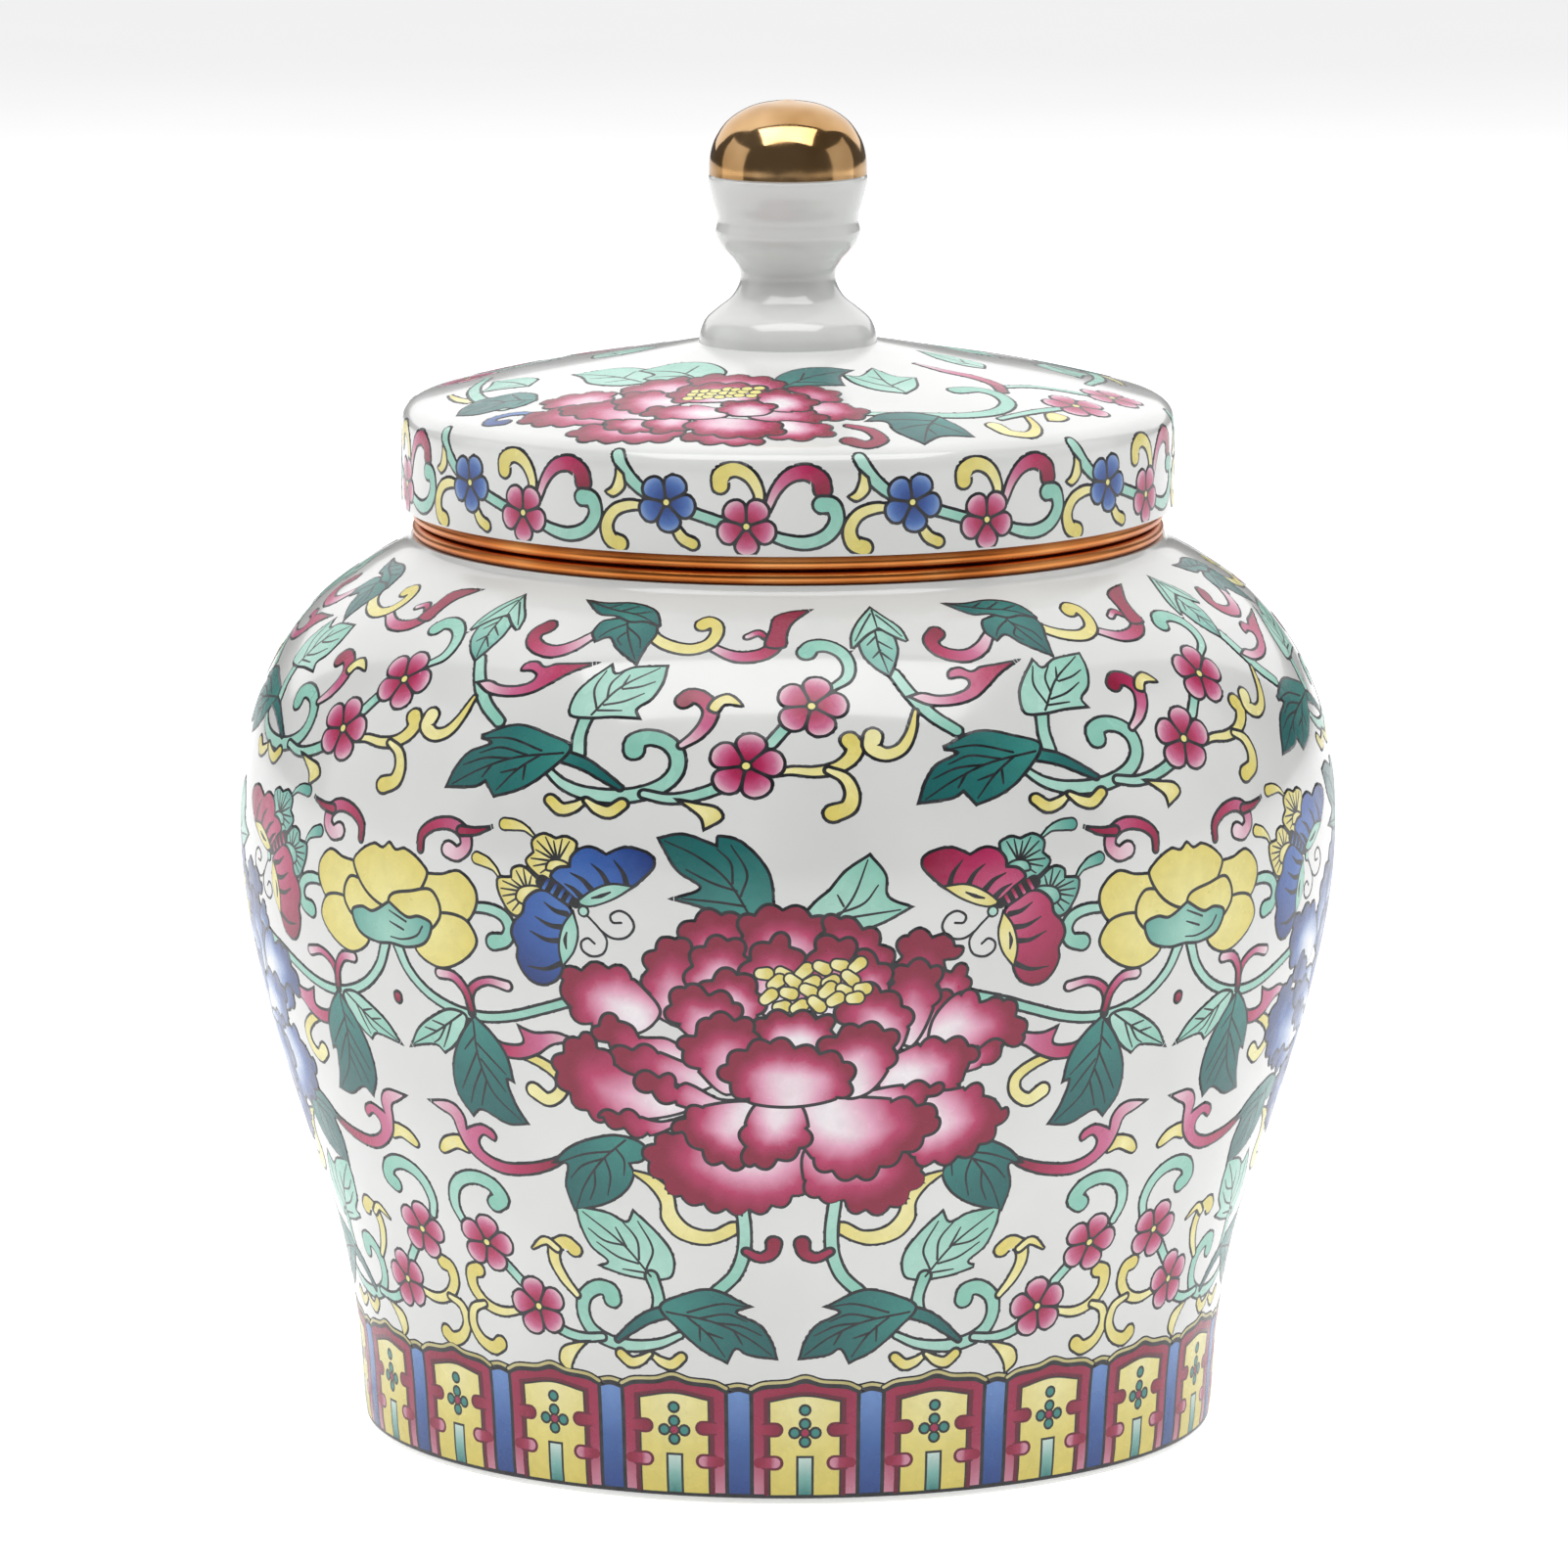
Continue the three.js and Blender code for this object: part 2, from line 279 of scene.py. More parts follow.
def enamel():
    """Opaque painted enamel. Its colour is on the mesh, and it pools a little darker and paler."""
    material, tree, shader = new_material("famille_rose_enamel", 0.24)
    paint = tree.nodes.new("ShaderNodeVertexColor")
    paint.layer_name = "paint"
    pooled = ramp(tree, noise(tree, 420, 3.0), [(0.3, (0.91, 0.91, 0.91)), (0.7, (1, 1, 1))])
    mix = tree.nodes.new("ShaderNodeMix")
    mix.data_type = "RGBA"
    mix.blend_type = "MULTIPLY"
    mix.inputs["Factor"].default_value = 1.0
    tree.links.new(paint.outputs["Color"], mix.inputs["A"])
    tree.links.new(pooled, mix.inputs["B"])
    tree.links.new(mix.outputs["Result"], shader.inputs["Base Color"])
    tree.links.new(spread(tree, noise(tree, 300), 0.18, 0.32), shader.inputs["Roughness"])
    add_bump(tree, shader, noise(tree, 700, 2.0), 0.00006, 0.5)
    return material


def outline_enamel():
    """The thin black of the outlines, a little worn in places."""
    material, tree, shader = new_material("outline_enamel", 0.3)
    colour = ramp(tree, noise(tree, 500, 3.0), [(0.3, linear("15161a")), (0.75, linear("34353a"))])
    tree.links.new(colour, shader.inputs["Base Color"])
    return material


def ring_metal():
    """Spun metal with a copper-gold finish and fine turning lines round it."""
    material, tree, shader = new_material("copper_gold_metal", 0.26, metallic=1.0)
    lines = noise(tree, 260, 3.0, (0.02, 0.02, 14.0))
    patches = noise(tree, 55, 2.0)
    colour = ramp(tree, patches, [(0.3, linear("a95a28")), (0.5, linear("c9773a")),
                                  (0.75, linear("e29c5c"))])
    tree.links.new(colour, shader.inputs["Base Color"])
    tree.links.new(spread(tree, lines, 0.27, 0.33), shader.inputs["Roughness"])
    add_bump(tree, shader, lines, 0.00001, 0.15)
    return material


def gilding():
    """Bright fired gold, rubbed a little unevenly."""
    material, tree, shader = new_material("bright_gold", 0.1, metallic=1.0)
    colour = ramp(tree, noise(tree, 90, 2.0), [(0.3, linear("b08552")), (0.7, linear("dcb585"))])
    tree.links.new(colour, shader.inputs["Base Color"])
    tree.links.new(spread(tree, noise(tree, 240, 3.0), 0.06, 0.17), shader.inputs["Roughness"])
    add_bump(tree, shader, noise(tree, 130, 1.0), 0.0002, 0.3)
    return material


def cement():
    material, tree, shader = new_material("ring_cement", 0.85)
    colour = ramp(tree, noise(tree, 600, 4.0), [(0.3, linear("c9c2b2")), (0.7, linear("ded8cb"))])
    tree.links.new(colour, shader.inputs["Base Color"])
    add_bump(tree, shader, noise(tree, 1500, 3.0), 0.0001, 0.7)
    return material


def silicone():
    material, tree, shader = new_material("gasket_silicone", 0.5)
    colour = ramp(tree, noise(tree, 150, 2.0), [(0.3, linear("dcdad3")), (0.7, linear("e9e7e1"))])
    tree.links.new(colour, shader.inputs["Base Color"])
    tree.links.new(spread(tree, noise(tree, 900, 2.0), 0.42, 0.6), shader.inputs["Roughness"])
    return material


GLAZE = glaze()
BARE = bare_porcelain()
ENAMEL = enamel()
OUTLINE = outline_enamel()
METAL = ring_metal()
GOLD = gilding()
CEMENT = cement()
SILICONE = silicone()


# ---------------------------------------------------------------- the turned pieces


def body_outside():
    return smooth(BODY_KNOTS, step=1.2)


def jar_body():
    outside = body_outside()
    inside = (outside - WALL * sideways(outside))[::-1]
    inside = inside[(inside[:, 1] > 13.5) & (inside[:, 1] < 142.5) & (inside[:, 0] > 54.5)]
    profile = np.vstack([
        [(0, 5), (58.5, 5), (60.2, 4.6), (61, 4), (61.6, 0.4), (62.2, 0), (67.8, 0), (68.9, 0.3),
         (69.5, 1.1)],
        outside,
        [(NECK_OUTER_R, SEAT_Z), (NECK_OUTER_R, NECK_TOP - 0.5), (NECK_OUTER_R - 0.5, NECK_TOP)],
        arc((NECK_INNER_R + 0.8, NECK_TOP - 0.8), 0.8, 90, 180, 5),
        [(NECK_INNER_R, 150.5), (52, 148.5), (53.6, 146.4)],
        inside,
        arc((61, 16), 6, 0, -90, 6),
        [(0, 10)],
    ])
    piece = turned("jar_porcelain", profile)
    place(piece, "jar", "painted_porcelain", GLAZE, *[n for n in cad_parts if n.startswith("jar_")])
    piece.data.materials.append(BARE)
    for face in piece.data.polygons:
        heights = [piece.data.vertices[v].co.z / MM for v in face.vertices]
        if max(heights) < 0.6:
            face.material_index = 1
    return piece


def threaded_ring(name, before, wall_r, crest, wall_z, after, start_z, start_angle, lead=6.0, turns=1.0):
    """A turned ring whose wall carries one rolled thread, which stands out by the crest if that is positive.

    The wall is at wall_r, from wall_z[0] to wall_z[1]. before and after are the rest of the ring's profile.
    """
    steps = 40
    wall = [(wall_r, z) for z in np.linspace(wall_z[0], wall_z[1], steps)]
    profile = np.array([*before, *wall, *after], float)
    piece = turned(name, profile)
    first, last = len(before), len(before) + steps
    runout = 25.0
    half = 1.05
    for row in range(first, last):
        for k in range(SIDES):
            vertex = piece.data.vertices[row * SIDES + k]
            angle = 360.0 * k / SIDES
            along = (angle - start_angle) % 360.0
            rise = 0.0
            for turn in (0, 1):
                travelled = along + 360.0 * turn
                if travelled > 360.0 * turns:
                    continue
                z = start_z + lead * travelled / 360.0
                gap = abs(profile[row][1] - z) / half
                fade = min(1.0, travelled / runout, (360.0 * turns - travelled) / runout)
                if gap < 1:
                    rise = max(rise, fade * 0.5 * (1 + math.cos(math.pi * gap)))
            r = wall_r + crest * rise
            vertex.co.x = r * math.cos(math.radians(angle)) * MM
            vertex.co.y = r * math.sin(math.radians(angle)) * MM
    piece.data.update()
    return piece


def rings():
    """The neck ring and the lid ring, each a sleeve, a flange, a rolled bead and a rolled thread."""
    bead_r = 61.4
    half = 1.05
    neck_before = [(55.8, SEAT_Z), *arc((bead_r - half, SEAT_Z + half), half, -90, 90, 14),
                   (56.6, SEAT_Z + 2.1)]
    neck_after = [(56.6, 158.5), (56.3, 158.8), (53, 158.8), (53, 158), (55.8, 158)]
    ring = threaded_ring("neck_ring_spun", neck_before, 56.6, 1.25, (SEAT_Z + 2.3, 158.2), neck_after,
                         151.4, 0)
    place(ring, "jar", "ring_metal", METAL, "neck_ring")
    bottom = 149.8
    lid_before = [(53, 161), (53, 160.2), (58.1, 160.2)]
    lid_after = [
        (58.4, bottom), *arc((bead_r - half, bottom + half), half, -90, 90, 14), (59.2, bottom + 2.1),
        (59.2, 160.7), (58.9, 161),
    ]
    ring = threaded_ring("lid_ring_spun", lid_before, 58.4, -1.25, (159.9, bottom + 0.2), lid_after, 151.3,
                         90)
    place(ring, "lid", "ring_metal", METAL, "lid_ring")


def lid_porcelain():
    outside = smooth(LID_KNOTS, step=0.8)
    dome = outside[outside[:, 1] > 169]
    inside = (dome - WALL * sideways(dome))[::-1]
    inside = inside[(inside[:, 0] > 3.5) & (inside[:, 0] < 58.5)]
    profile = np.vstack([
        [(3, 175.4), (3.4, 174.8)],
        inside,
        arc((58, 163.3), 1.6, 80, 0, 4),
        [(59.6, RIM_BOTTOM + 0.3), (59.9, RIM_BOTTOM), (RIM_R - 0.4, RIM_BOTTOM),
         (RIM_R - 0.1, RIM_BOTTOM + 0.1)],
        outside,
        [(3.3, 178.7), (3, 178.4)],
    ])
    place(turned("lid_porcelain", profile), "lid", "painted_porcelain", GLAZE, "lid_shell")


def under_gilding(crown):
    """The crown's line moved towards its centre by the thickness of the gilding."""
    offset = crown - np.array([0, GILT_FROM])
    reach = np.linalg.norm(offset, axis=1)[:, None]
    return offset * (reach - GILT_THICKNESS) / reach + np.array([0, GILT_FROM])


def finial():
    stem = smooth(STEM_KNOTS, step=0.4)
    crown = smooth(CROWN_KNOTS, step=0.4)
    under = under_gilding(crown)
    hollow = smooth([(0, 214.8), (6.4, 213.2), (10, 206.5), (9.1, 201.5), (8.8, 196.4), (5, 191.6),
                     (5, 187.8), (6, KNOB_FOOT[1])], step=1.0)
    place(turned("finial_porcelain", np.vstack([stem[:-1], under, hollow])), "lid", "plain_porcelain",
          GLAZE, "lid_knob")
    place(turned("finial_gilding", np.vstack([crown, under[::-1]])), "lid", "bright_gold", GOLD,
          "knob_gilding")


def plain_ring(name, inner, outer, bottom, top, edge):
    """A ring of rectangular section with rounded edges."""
    return turned(name, np.vstack([
        arc((inner + edge, bottom + edge), edge, 180, 270, 3),
        arc((outer - edge, bottom + edge), edge, -90, 0, 3),
        arc((outer - edge, top - edge), edge, 0, 90, 3),
        arc((inner + edge, top - edge), edge, 90, 180, 3),
    ]))


def hidden_rings():
    place(plain_ring("neck_cement_bed", 55.4, 55.8, SEAT_Z, 158, 0.05), "jar", "ring_cement", CEMENT,
          "neck_cement")
    place(plain_ring("lid_cement_bed", 59.2, 59.6, RIM_BOTTOM, 161, 0.1), "lid", "ring_cement", CEMENT,
          "lid_cement")
    place(plain_ring("silicone_gasket", 53.6, 57.6, 158.8, 160.2, 0.4), "gasket", "gasket_rubber", SILICONE,
          "lid_gasket")


jar_body()
rings()
lid_porcelain()
finial()
hidden_rings()


# ---------------------------------------------------------------- drawing


RAMPS = {
    "rose": ("f6eef2", "e8a7c2", "bb3667", "8a1638"),
    "blue": ("eef1f7", "b0c3e4", "4468ac", "223e7a"),
    "blue_petal": ("1d3474", "2f5299", "4a72b6", "8fabd8"),
    "crimson": ("a62a50", "8c1638"),
    "pink": ("8c1638", "b7305f", "cc6a92", "efd3dc"),
    "pink_out": ("efd3dc", "cc6a92", "b7305f", "8c1638"),
    "blue_wing": ("4f7cc2", "3560ac", "1d3474"),
    "rose_wing": ("d2688f", "b52f60", "8c1638"),
    "mint": ("b4e0d1", "8ccab7"),
    "mint_teal": ("a6dac9", "5fa79b"),
    "teal": ("3b8b83", "256f6c", "1a5d5d"),
    "yellow": ("f6efb0", "e4d472"),
    "gold_yellow": ("f5ec9f", "e5d572"),
    "olive": ("cfc68e", "bdb274"),
    "post": ("6d92cd", "3f66a8", "26468a"),
    "frame": ("941a3e", "9d2047", "a83458", "d28da3"),
    "maroon": ("6a1830",),
    "field": ("f3ebac", "e9db80", "e0cf68"),
    "bar": ("2f7f7b", "86bdb4", "d3e8e0"),
    "black": ("1c1c20",),
    "eye": ("f2e88e",),
}
STOPS = {name: np.array([linear(code) for code in codes]) for name, codes in RAMPS.items()}


def mixed(name, share):
    """Colours along a ramp. The share runs from 0 to 1."""
    stops = STOPS[name]
    at = np.clip(share, 0, 1) * (len(stops) - 1)
    low = np.minimum(at.astype(int), len(stops) - 1)
    high = np.minimum(low + 1, len(stops) - 1)
    return stops[low] + (stops[high] - stops[low]) * (at - low)[:, None]


def area_of(loop):
    x, y = loop.T
    return 0.5 * np.sum(x * np.roll(y, -1) - np.roll(x, -1) * y)


def gap_to(points, loop):
    """The distance from each point to a closed line."""
    start = loop
    along = np.roll(loop, -1, 0) - loop
    length = np.maximum(np.sum(along**2, 1), 1e-12)
    away = points[:, None] - start[None]
    t = np.clip(np.sum(away * along[None], 2) / length, 0, 1)
    return np.sqrt(np.min(np.sum((away - t[..., None] * along[None]) ** 2, 2), 1))


def grown(loop, distance):
    """A closed anticlockwise line moved outwards, or inwards if the distance is negative."""
    along = np.roll(loop, -1, 0) - loop
    along /= np.maximum(np.linalg.norm(along, axis=1), 1e-9)[:, None]
    normal = np.stack([along[:, 1], -along[:, 0]], 1)
    both = normal + np.roll(normal, 1, 0)
    both *= (2 / np.maximum(np.sum(both**2, 1), 0.5))[:, None]
    moved = loop + distance * both
    return moved[gap_to(moved, loop) > abs(distance) * 0.96]


def ready(loop):
    """A closed line made anticlockwise, without doubled points, and starting at its lowest point."""
    if area_of(loop) < 0:
        loop = loop[::-1]
    loop = loop[np.linalg.norm(loop - np.roll(loop, 1, 0), axis=1) > 0.02]
    return np.roll(loop, -int(np.argmin(loop[:, 1] + 1e-4 * loop[:, 0])), 0)


class Sheet:
    """A flat drawing of one repeat of a band. Later shapes lie over earlier ones.

    Points are given in the band's own units. x_scale and y_scale turn them into millimetres. A band with a
    period repeats along x, and its sheet is cut to one period from cut_at.
    """

    def __init__(self, x_scale=1.0, period=None, cut_at=0.0, line=LINE_WIDTH):
        self.scale = np.array([x_scale, 1.0])
        self.period = period * x_scale if period else None
        self.cut_at = cut_at * x_scale
        self.line = line
        self.shapes = []
        self.spines = []  # the middles of the thin free lines, which keep their crests above the glaze
        self.side = 1  # -1 draws the mirror image
        self.stretch = 1.0

    def to_sheet(self, points):
        """Points in millimetres on the sheet."""
        across = self.side * self.stretch * self.scale[0]
        return [(p[0] * across, *p[1:]) for p in points]

    def add(self, loop, paint, line=None, inside=None):
        """A closed shape with an outline. paint(points, swap) gives its colours, and None is all line."""
        line = self.line if line is None else line
        loop = ready(loop)
        if paint is None:
            self.shapes.append((loop, None, None, inside))
        else:
            outer = ready(grown(loop, line / 2)) if line else loop
            inner = grown(loop, -line / 2) if line else None
            if inner is not None:
                inner = ready(inner) if len(inner) > 5 and area_of(inner) > 0.1 else None
                self.shapes.append((outer, inner, paint, inside))
            else:
                self.shapes.append((None, loop, paint, inside))
        return len(self.shapes) - 1

    def blob(self, points, colours="mint", base=None, line=None, power=1.0):
        """A closed outline, coloured from its base point outwards."""
        loop = smooth(self.to_sheet(points), closed=True)
        root = np.array(self.to_sheet([base])[0]) if base else loop.mean(0)
        return self.tinted(loop, root, colours, line, power)

    def tinted(self, loop, root, colours, line=None, power=1.0, rim=None):
        """A closed line filled with colours that run outwards from the root.

        With a rim the last colour keeps to the edge that is far from the root, and fades within the rim's
        share of the shape's length.
        """
        reach = np.linalg.norm(loop - root, axis=1).max()

        def paint(at, swap):
            share = (np.linalg.norm(at - root, axis=1) / reach) ** power
            if rim:
                share = 1.4 * share - gap_to(at, loop) / (rim * reach)
            return mixed(swap.get(colours, colours), share)

        return self.add(loop, paint, line)

    def band(self, points, widths, colours="mint", line=None, inside=None):
        """A stroke with round ends. The widths are spread evenly along it, and so are the colours."""
        path = smooth(self.to_sheet(points), step=0.45)
        travelled = np.concatenate([[0], np.cumsum(np.linalg.norm(np.diff(path, axis=0), axis=1))])
        share = travelled / travelled[-1]
        half = np.interp(share, np.linspace(0, 1, len(widths)), widths) / 2
        side = sideways(path)
        right = path + side * half[:, None]
        left = path - side * half[:, None]
        turn = math.degrees(math.atan2(side[-1][1], side[-1][0]))
        end = arc(path[-1], half[-1], turn, turn + 180, 8)[1:-1]
        turn = math.degrees(math.atan2(-side[0][1], -side[0][0]))
        start = arc(path[0], half[0], turn, turn + 180, 8)[1:-1]
        loop = np.vstack([right, end, left[::-1], start])
        from_path = np.linalg.norm(loop[:, None] - path[None], axis=2) - half[None]
        loop = loop[from_path.min(1) > -0.04 * half.max()]

        def paint(at, swap):
            nearest = np.linalg.norm(at[:, None] - path[None], axis=2).argmin(1)
            return mixed(swap.get(colours, colours), share[nearest])

        if colours is None:
            if inside is None:
                self.spines.append(path)
            return self.add(loop, None, inside=inside)
        return self.add(loop, paint, line, inside)

    def veins(self, shape, *paths, width=VEIN_WIDTH):
        """Thin lines that show only inside one shape."""
        for path in paths:
            self.band(path, (width, width, width * 0.6), None, inside=shape)

    def dot(self, x, y, radius, colours, line=None):
        """A round dot. The radius is in millimetres."""
        centre = np.array(self.to_sheet([(x, y)])[0])
        loop = arc(centre, radius, 0, 360, 12)[:-1]
        return self.add(loop, lambda at, swap: mixed(swap.get(colours, colours), np.zeros(len(at))), line)

    def ribbon(self, low, high, colours, line=None):
        """A band that runs right round the jar between two heights."""
        x0 = self.cut_at - 0.4 * self.period
        x1 = self.cut_at + 1.4 * self.period
        count = math.ceil((x1 - x0) / 1.5)
        x = np.linspace(x0, x1, count)
        loop = np.vstack([np.stack([x, np.full(count, low)], 1), np.stack([x[::-1], np.full(count, high)],
                                                                          1)])
        return self.add(loop, lambda at, swap: mixed(colours, (at[:, 1] - low) / (high - low)), line)

    def flattened(self):
        """(points, outline triangles, filled triangles by shape, which points are on an outer edge)."""
        points = []
        loops = []
        owners = []
        shifts = (-self.period, 0.0, self.period) if self.period else (0.0,)

        def add_loop(loop, owner):
            loops.append(list(range(len(points), len(points) + len(loop))))
            points.extend(loop.tolist())
            owners.append(owner)

        for number, (outer, inner, paint, inside) in enumerate(self.shapes):
            for shift in shifts:
                near = (shift, 0.0)
                some = outer if outer is not None else inner
                if self.period and not self.in_reach(some[:, 0] + shift):
                    continue
                if outer is not None:
                    add_loop(outer + near, (number, shift, True))
                if inner is not None:
                    add_loop(inner + near, (number, shift, False))
        drawn = np.array(points)
        low, high = drawn.min(0), drawn.max(0)
        edges = []
        for spine in self.spines:
            for shift in shifts:
                if self.period and not self.in_reach(spine[:, 0] + shift):
                    continue
                first = len(points)
                points.extend((spine + (shift, 0.0)).tolist())
                edges.extend([(first + i, first + i + 1) for i in range(len(spine) - 1)])
        if self.period:
            low[0], high[0] = self.cut_at, self.cut_at + self.period
            rows = np.arange(low[1] - 1.0, high[1] + 1.0, 0.7)
            for x in (low[0], high[0]):
                first = len(points)
                points.extend([(x, y) for y in rows])
                edges.extend([(first + i, first + i + 1) for i in range(len(rows) - 1)])
        for i, y in enumerate(np.arange(low[1], high[1], 0.9)):
            for x in np.arange(low[0] + 0.5 * (i % 2) + 0.3, high[0] - 0.3, 1.0):
                points.append((x, y))
        made = delaunay_2d_cdt([Vector(p) for p in points], edges, loops, 1, 1e-5, True)
        flat = np.array([tuple(v) for v in made[0]])
        lines, fills, fill_shapes = [], [], []
        for corners, sources in zip(made[2], made[5]):
            if not sources:
                continue
            middle = flat[list(corners)].mean(0)
            if self.period and not low[0] <= middle[0] <= high[0]:
                continue
            found = {owners[s] for s in sources}
            number, is_line = self.on_top(found)
            if number is None:
                continue
            if is_line:
                lines.append(corners)
            else:
                fills.append(corners)
                fill_shapes.append(number)
        return flat, lines, fills, fill_shapes, self.outer_edge(flat, lines + fills)

    def in_reach(self, x):
        return x.max() > self.cut_at - 0.5 and x.min() < self.cut_at + self.period + 0.5

    def on_top(self, found):
        """The highest shape among (number, shift, is outline) and whether its outline shows there."""
        for number in sorted({f[0] for f in found}, reverse=True):
            outer, inner, paint, inside = self.shapes[number]
            if inside is not None and not any(f[0] == inside and not f[2] for f in found):
                continue
            filled = any(f[0] == number and not f[2] for f in found)
            return number, not filled
        return None, False

    def outer_edge(self, flat, triangles):
        count = {}
        for a, b, c in triangles:
            for edge in ((a, b), (b, c), (c, a)):
                key = (min(edge), max(edge))
                count[key] = count.get(key, 0) + 1
        on_edge = np.zeros(len(flat), bool)
        for (a, b), times in count.items():
            if times > 1:
                continue
            if self.period:
                ends = flat[[a, b], 0]
                if np.all(np.abs(ends - self.cut_at) < 0.01):
                    continue
                if np.all(np.abs(ends - self.cut_at - self.period) < 0.01):
                    continue
            on_edge[[a, b]] = True
        return on_edge


def lay(name, body, sheet, surface, repeats, relief=ENAMEL_RELIEF):
    """Lays a sheet on the glaze once for each repeat, as a piece of enamel and a piece of outlines.

    surface(x, y, height) gives points in millimetres. A repeat is (angle to turn by, colours to swap).
    """
    flat, lines, fills, fill_shapes, on_edge = sheet.flattened()
    at = flat / sheet.scale
    height = np.where(on_edge, -BURIED, relief)
    base = surface(at[:, 0], at[:, 1], height)
    for kind, triangles in (("outlines", lines), ("enamel", fills)):
        triangles = np.array(triangles)
        used, local = np.unique(triangles, return_inverse=True)
        local = local.reshape(-1, 3)
        vertices, faces, colours = [], [], []
        for angle, swap in repeats:
            turn = math.radians(angle)
            spin = np.array([[math.cos(turn), math.sin(turn), 0], [-math.sin(turn), math.cos(turn), 0],
                             [0, 0, 1]])
            faces.append(local + sum(len(v) for v in vertices))
            vertices.append(base[used] @ spin * MM)
            if kind == "enamel":
                colours.append(painted(sheet, flat, triangles, fill_shapes, swap))
        piece = add_mesh(f"{name}_{kind}", np.vstack(vertices), np.vstack(faces).tolist(), sharp=None)
        if kind == "enamel":
            layer = piece.data.color_attributes.new("paint", "FLOAT_COLOR", "CORNER")
            flat_colours = np.ones((len(layer.data), 4), np.float32)
            flat_colours[:, :3] = np.vstack(colours)
            layer.data.foreach_set("color", flat_colours.ravel())
        place(piece, body, "painted_porcelain", ENAMEL if kind == "enamel" else OUTLINE)


def painted(sheet, flat, triangles, fill_shapes, swap):
    """A colour for each corner of each filled triangle."""
    colours = np.zeros((len(triangles) * 3, 3))
    corners = triangles.reshape(-1)
    owner = np.repeat(np.array(fill_shapes), 3)
    for number in np.unique(owner):
        mine = owner == number
        at = flat[corners[mine]]
        if sheet.period:
            loop = sheet.shapes[number][1]
            centre = 0.5 * (loop[:, 0].min() + loop[:, 0].max())
            shift = np.round((at[:, 0] - centre) / sheet.period) * sheet.period
            at = at - np.stack([shift, np.zeros(len(at))], 1)
        colours[mine] = sheet.shapes[number][2](at, swap)
    return colours


# ---------------------------------------------------------------- the surfaces that are painted


class Profile:
    """A turned surface's outside, read by distance along its line from the bottom."""

    def __init__(self, line):
        self.line = line
        self.travelled = np.concatenate([[0], np.cumsum(np.linalg.norm(np.diff(line, axis=0), axis=1))])
        self.normal = sideways(line)

    def read(self, distance, table):
        return np.stack([np.interp(distance, self.travelled, table[:, k]) for k in (0, 1)], 1)

    def by_angle(self, angle, distance, height):
        """Points at an angle in degrees to the right of the front, and a distance up the line."""
        at = self.read(distance, self.line) + height[:, None] * self.read(distance, self.normal)
        turn = np.radians(angle)
        return np.stack([at[:, 0] * np.sin(turn), -at[:, 0] * np.cos(turn), at[:, 1]], 1)


BODY = Profile(np.vstack([[(68.4, 0), (69.5, 1.1)], body_outside()]))


LID = Profile(smooth(LID_KNOTS, step=0.4))


def on_rim(angle, y, height):
    """Points on the lid's rim. y is a height up to the rounded corner, and follows the line beyond it."""
    return LID.by_angle(angle, y - LID_KNOTS[0][1], height)


LID_TOP = smooth(LID_KNOTS, step=0.8)[::-1]


def on_lid_top(x, forward, height):
    """Points above a plan of the lid's top."""
    reach = np.hypot(x, forward)
    z = np.interp(reach, LID_TOP[:, 0], LID_TOP[:, 1])
    return np.stack([x, -forward, z + height], 1)


# ---------------------------------------------------------------- motifs


def flower(sheet, x, y, reach=5.2, turn=90, colours="pink", petals=5):
    """A small flower of round petals about a yellow eye. The reach is in millimetres."""
    half_petal = [(0.1, 0.05), (0.34, 0.25), (0.66, 0.41), (0.9, 0.3), (1.0, 0.08)]
    for k in range(petals):
        angle = math.radians(turn + 360 * k / petals)
        ahead = np.array([math.cos(angle), math.sin(angle)])
        side = np.array([-ahead[1], ahead[0]])
        right = [along * ahead - across * side for along, across in half_petal]
        left = [along * ahead + across * side for along, across in reversed(half_petal)]
        outline = [(x + reach * p[0] / sheet.scale[0], y + reach * p[1]) for p in right + left]
        sheet.blob(outline, colours, (x, y), power=1.3)
    sheet.dot(x, y, reach * 0.14, "eye", LINE_WIDTH * 0.7)


def moustache(sheet, x, y, reach=5.2):
    """Two small yellow curls that spring from one point."""
    for side in (-1, 1):
        points = [(0.1 * side, 0.4), (1.8 * side, -0.8), (3.5 * side, -1.2), (reach * side, 0.1)]
        outline = [(x + dx / sheet.scale[0], y + dy) for dx, dy in points]
        sheet.band(outline, (1.0, 1.8, 2.1, 1.9), "yellow")


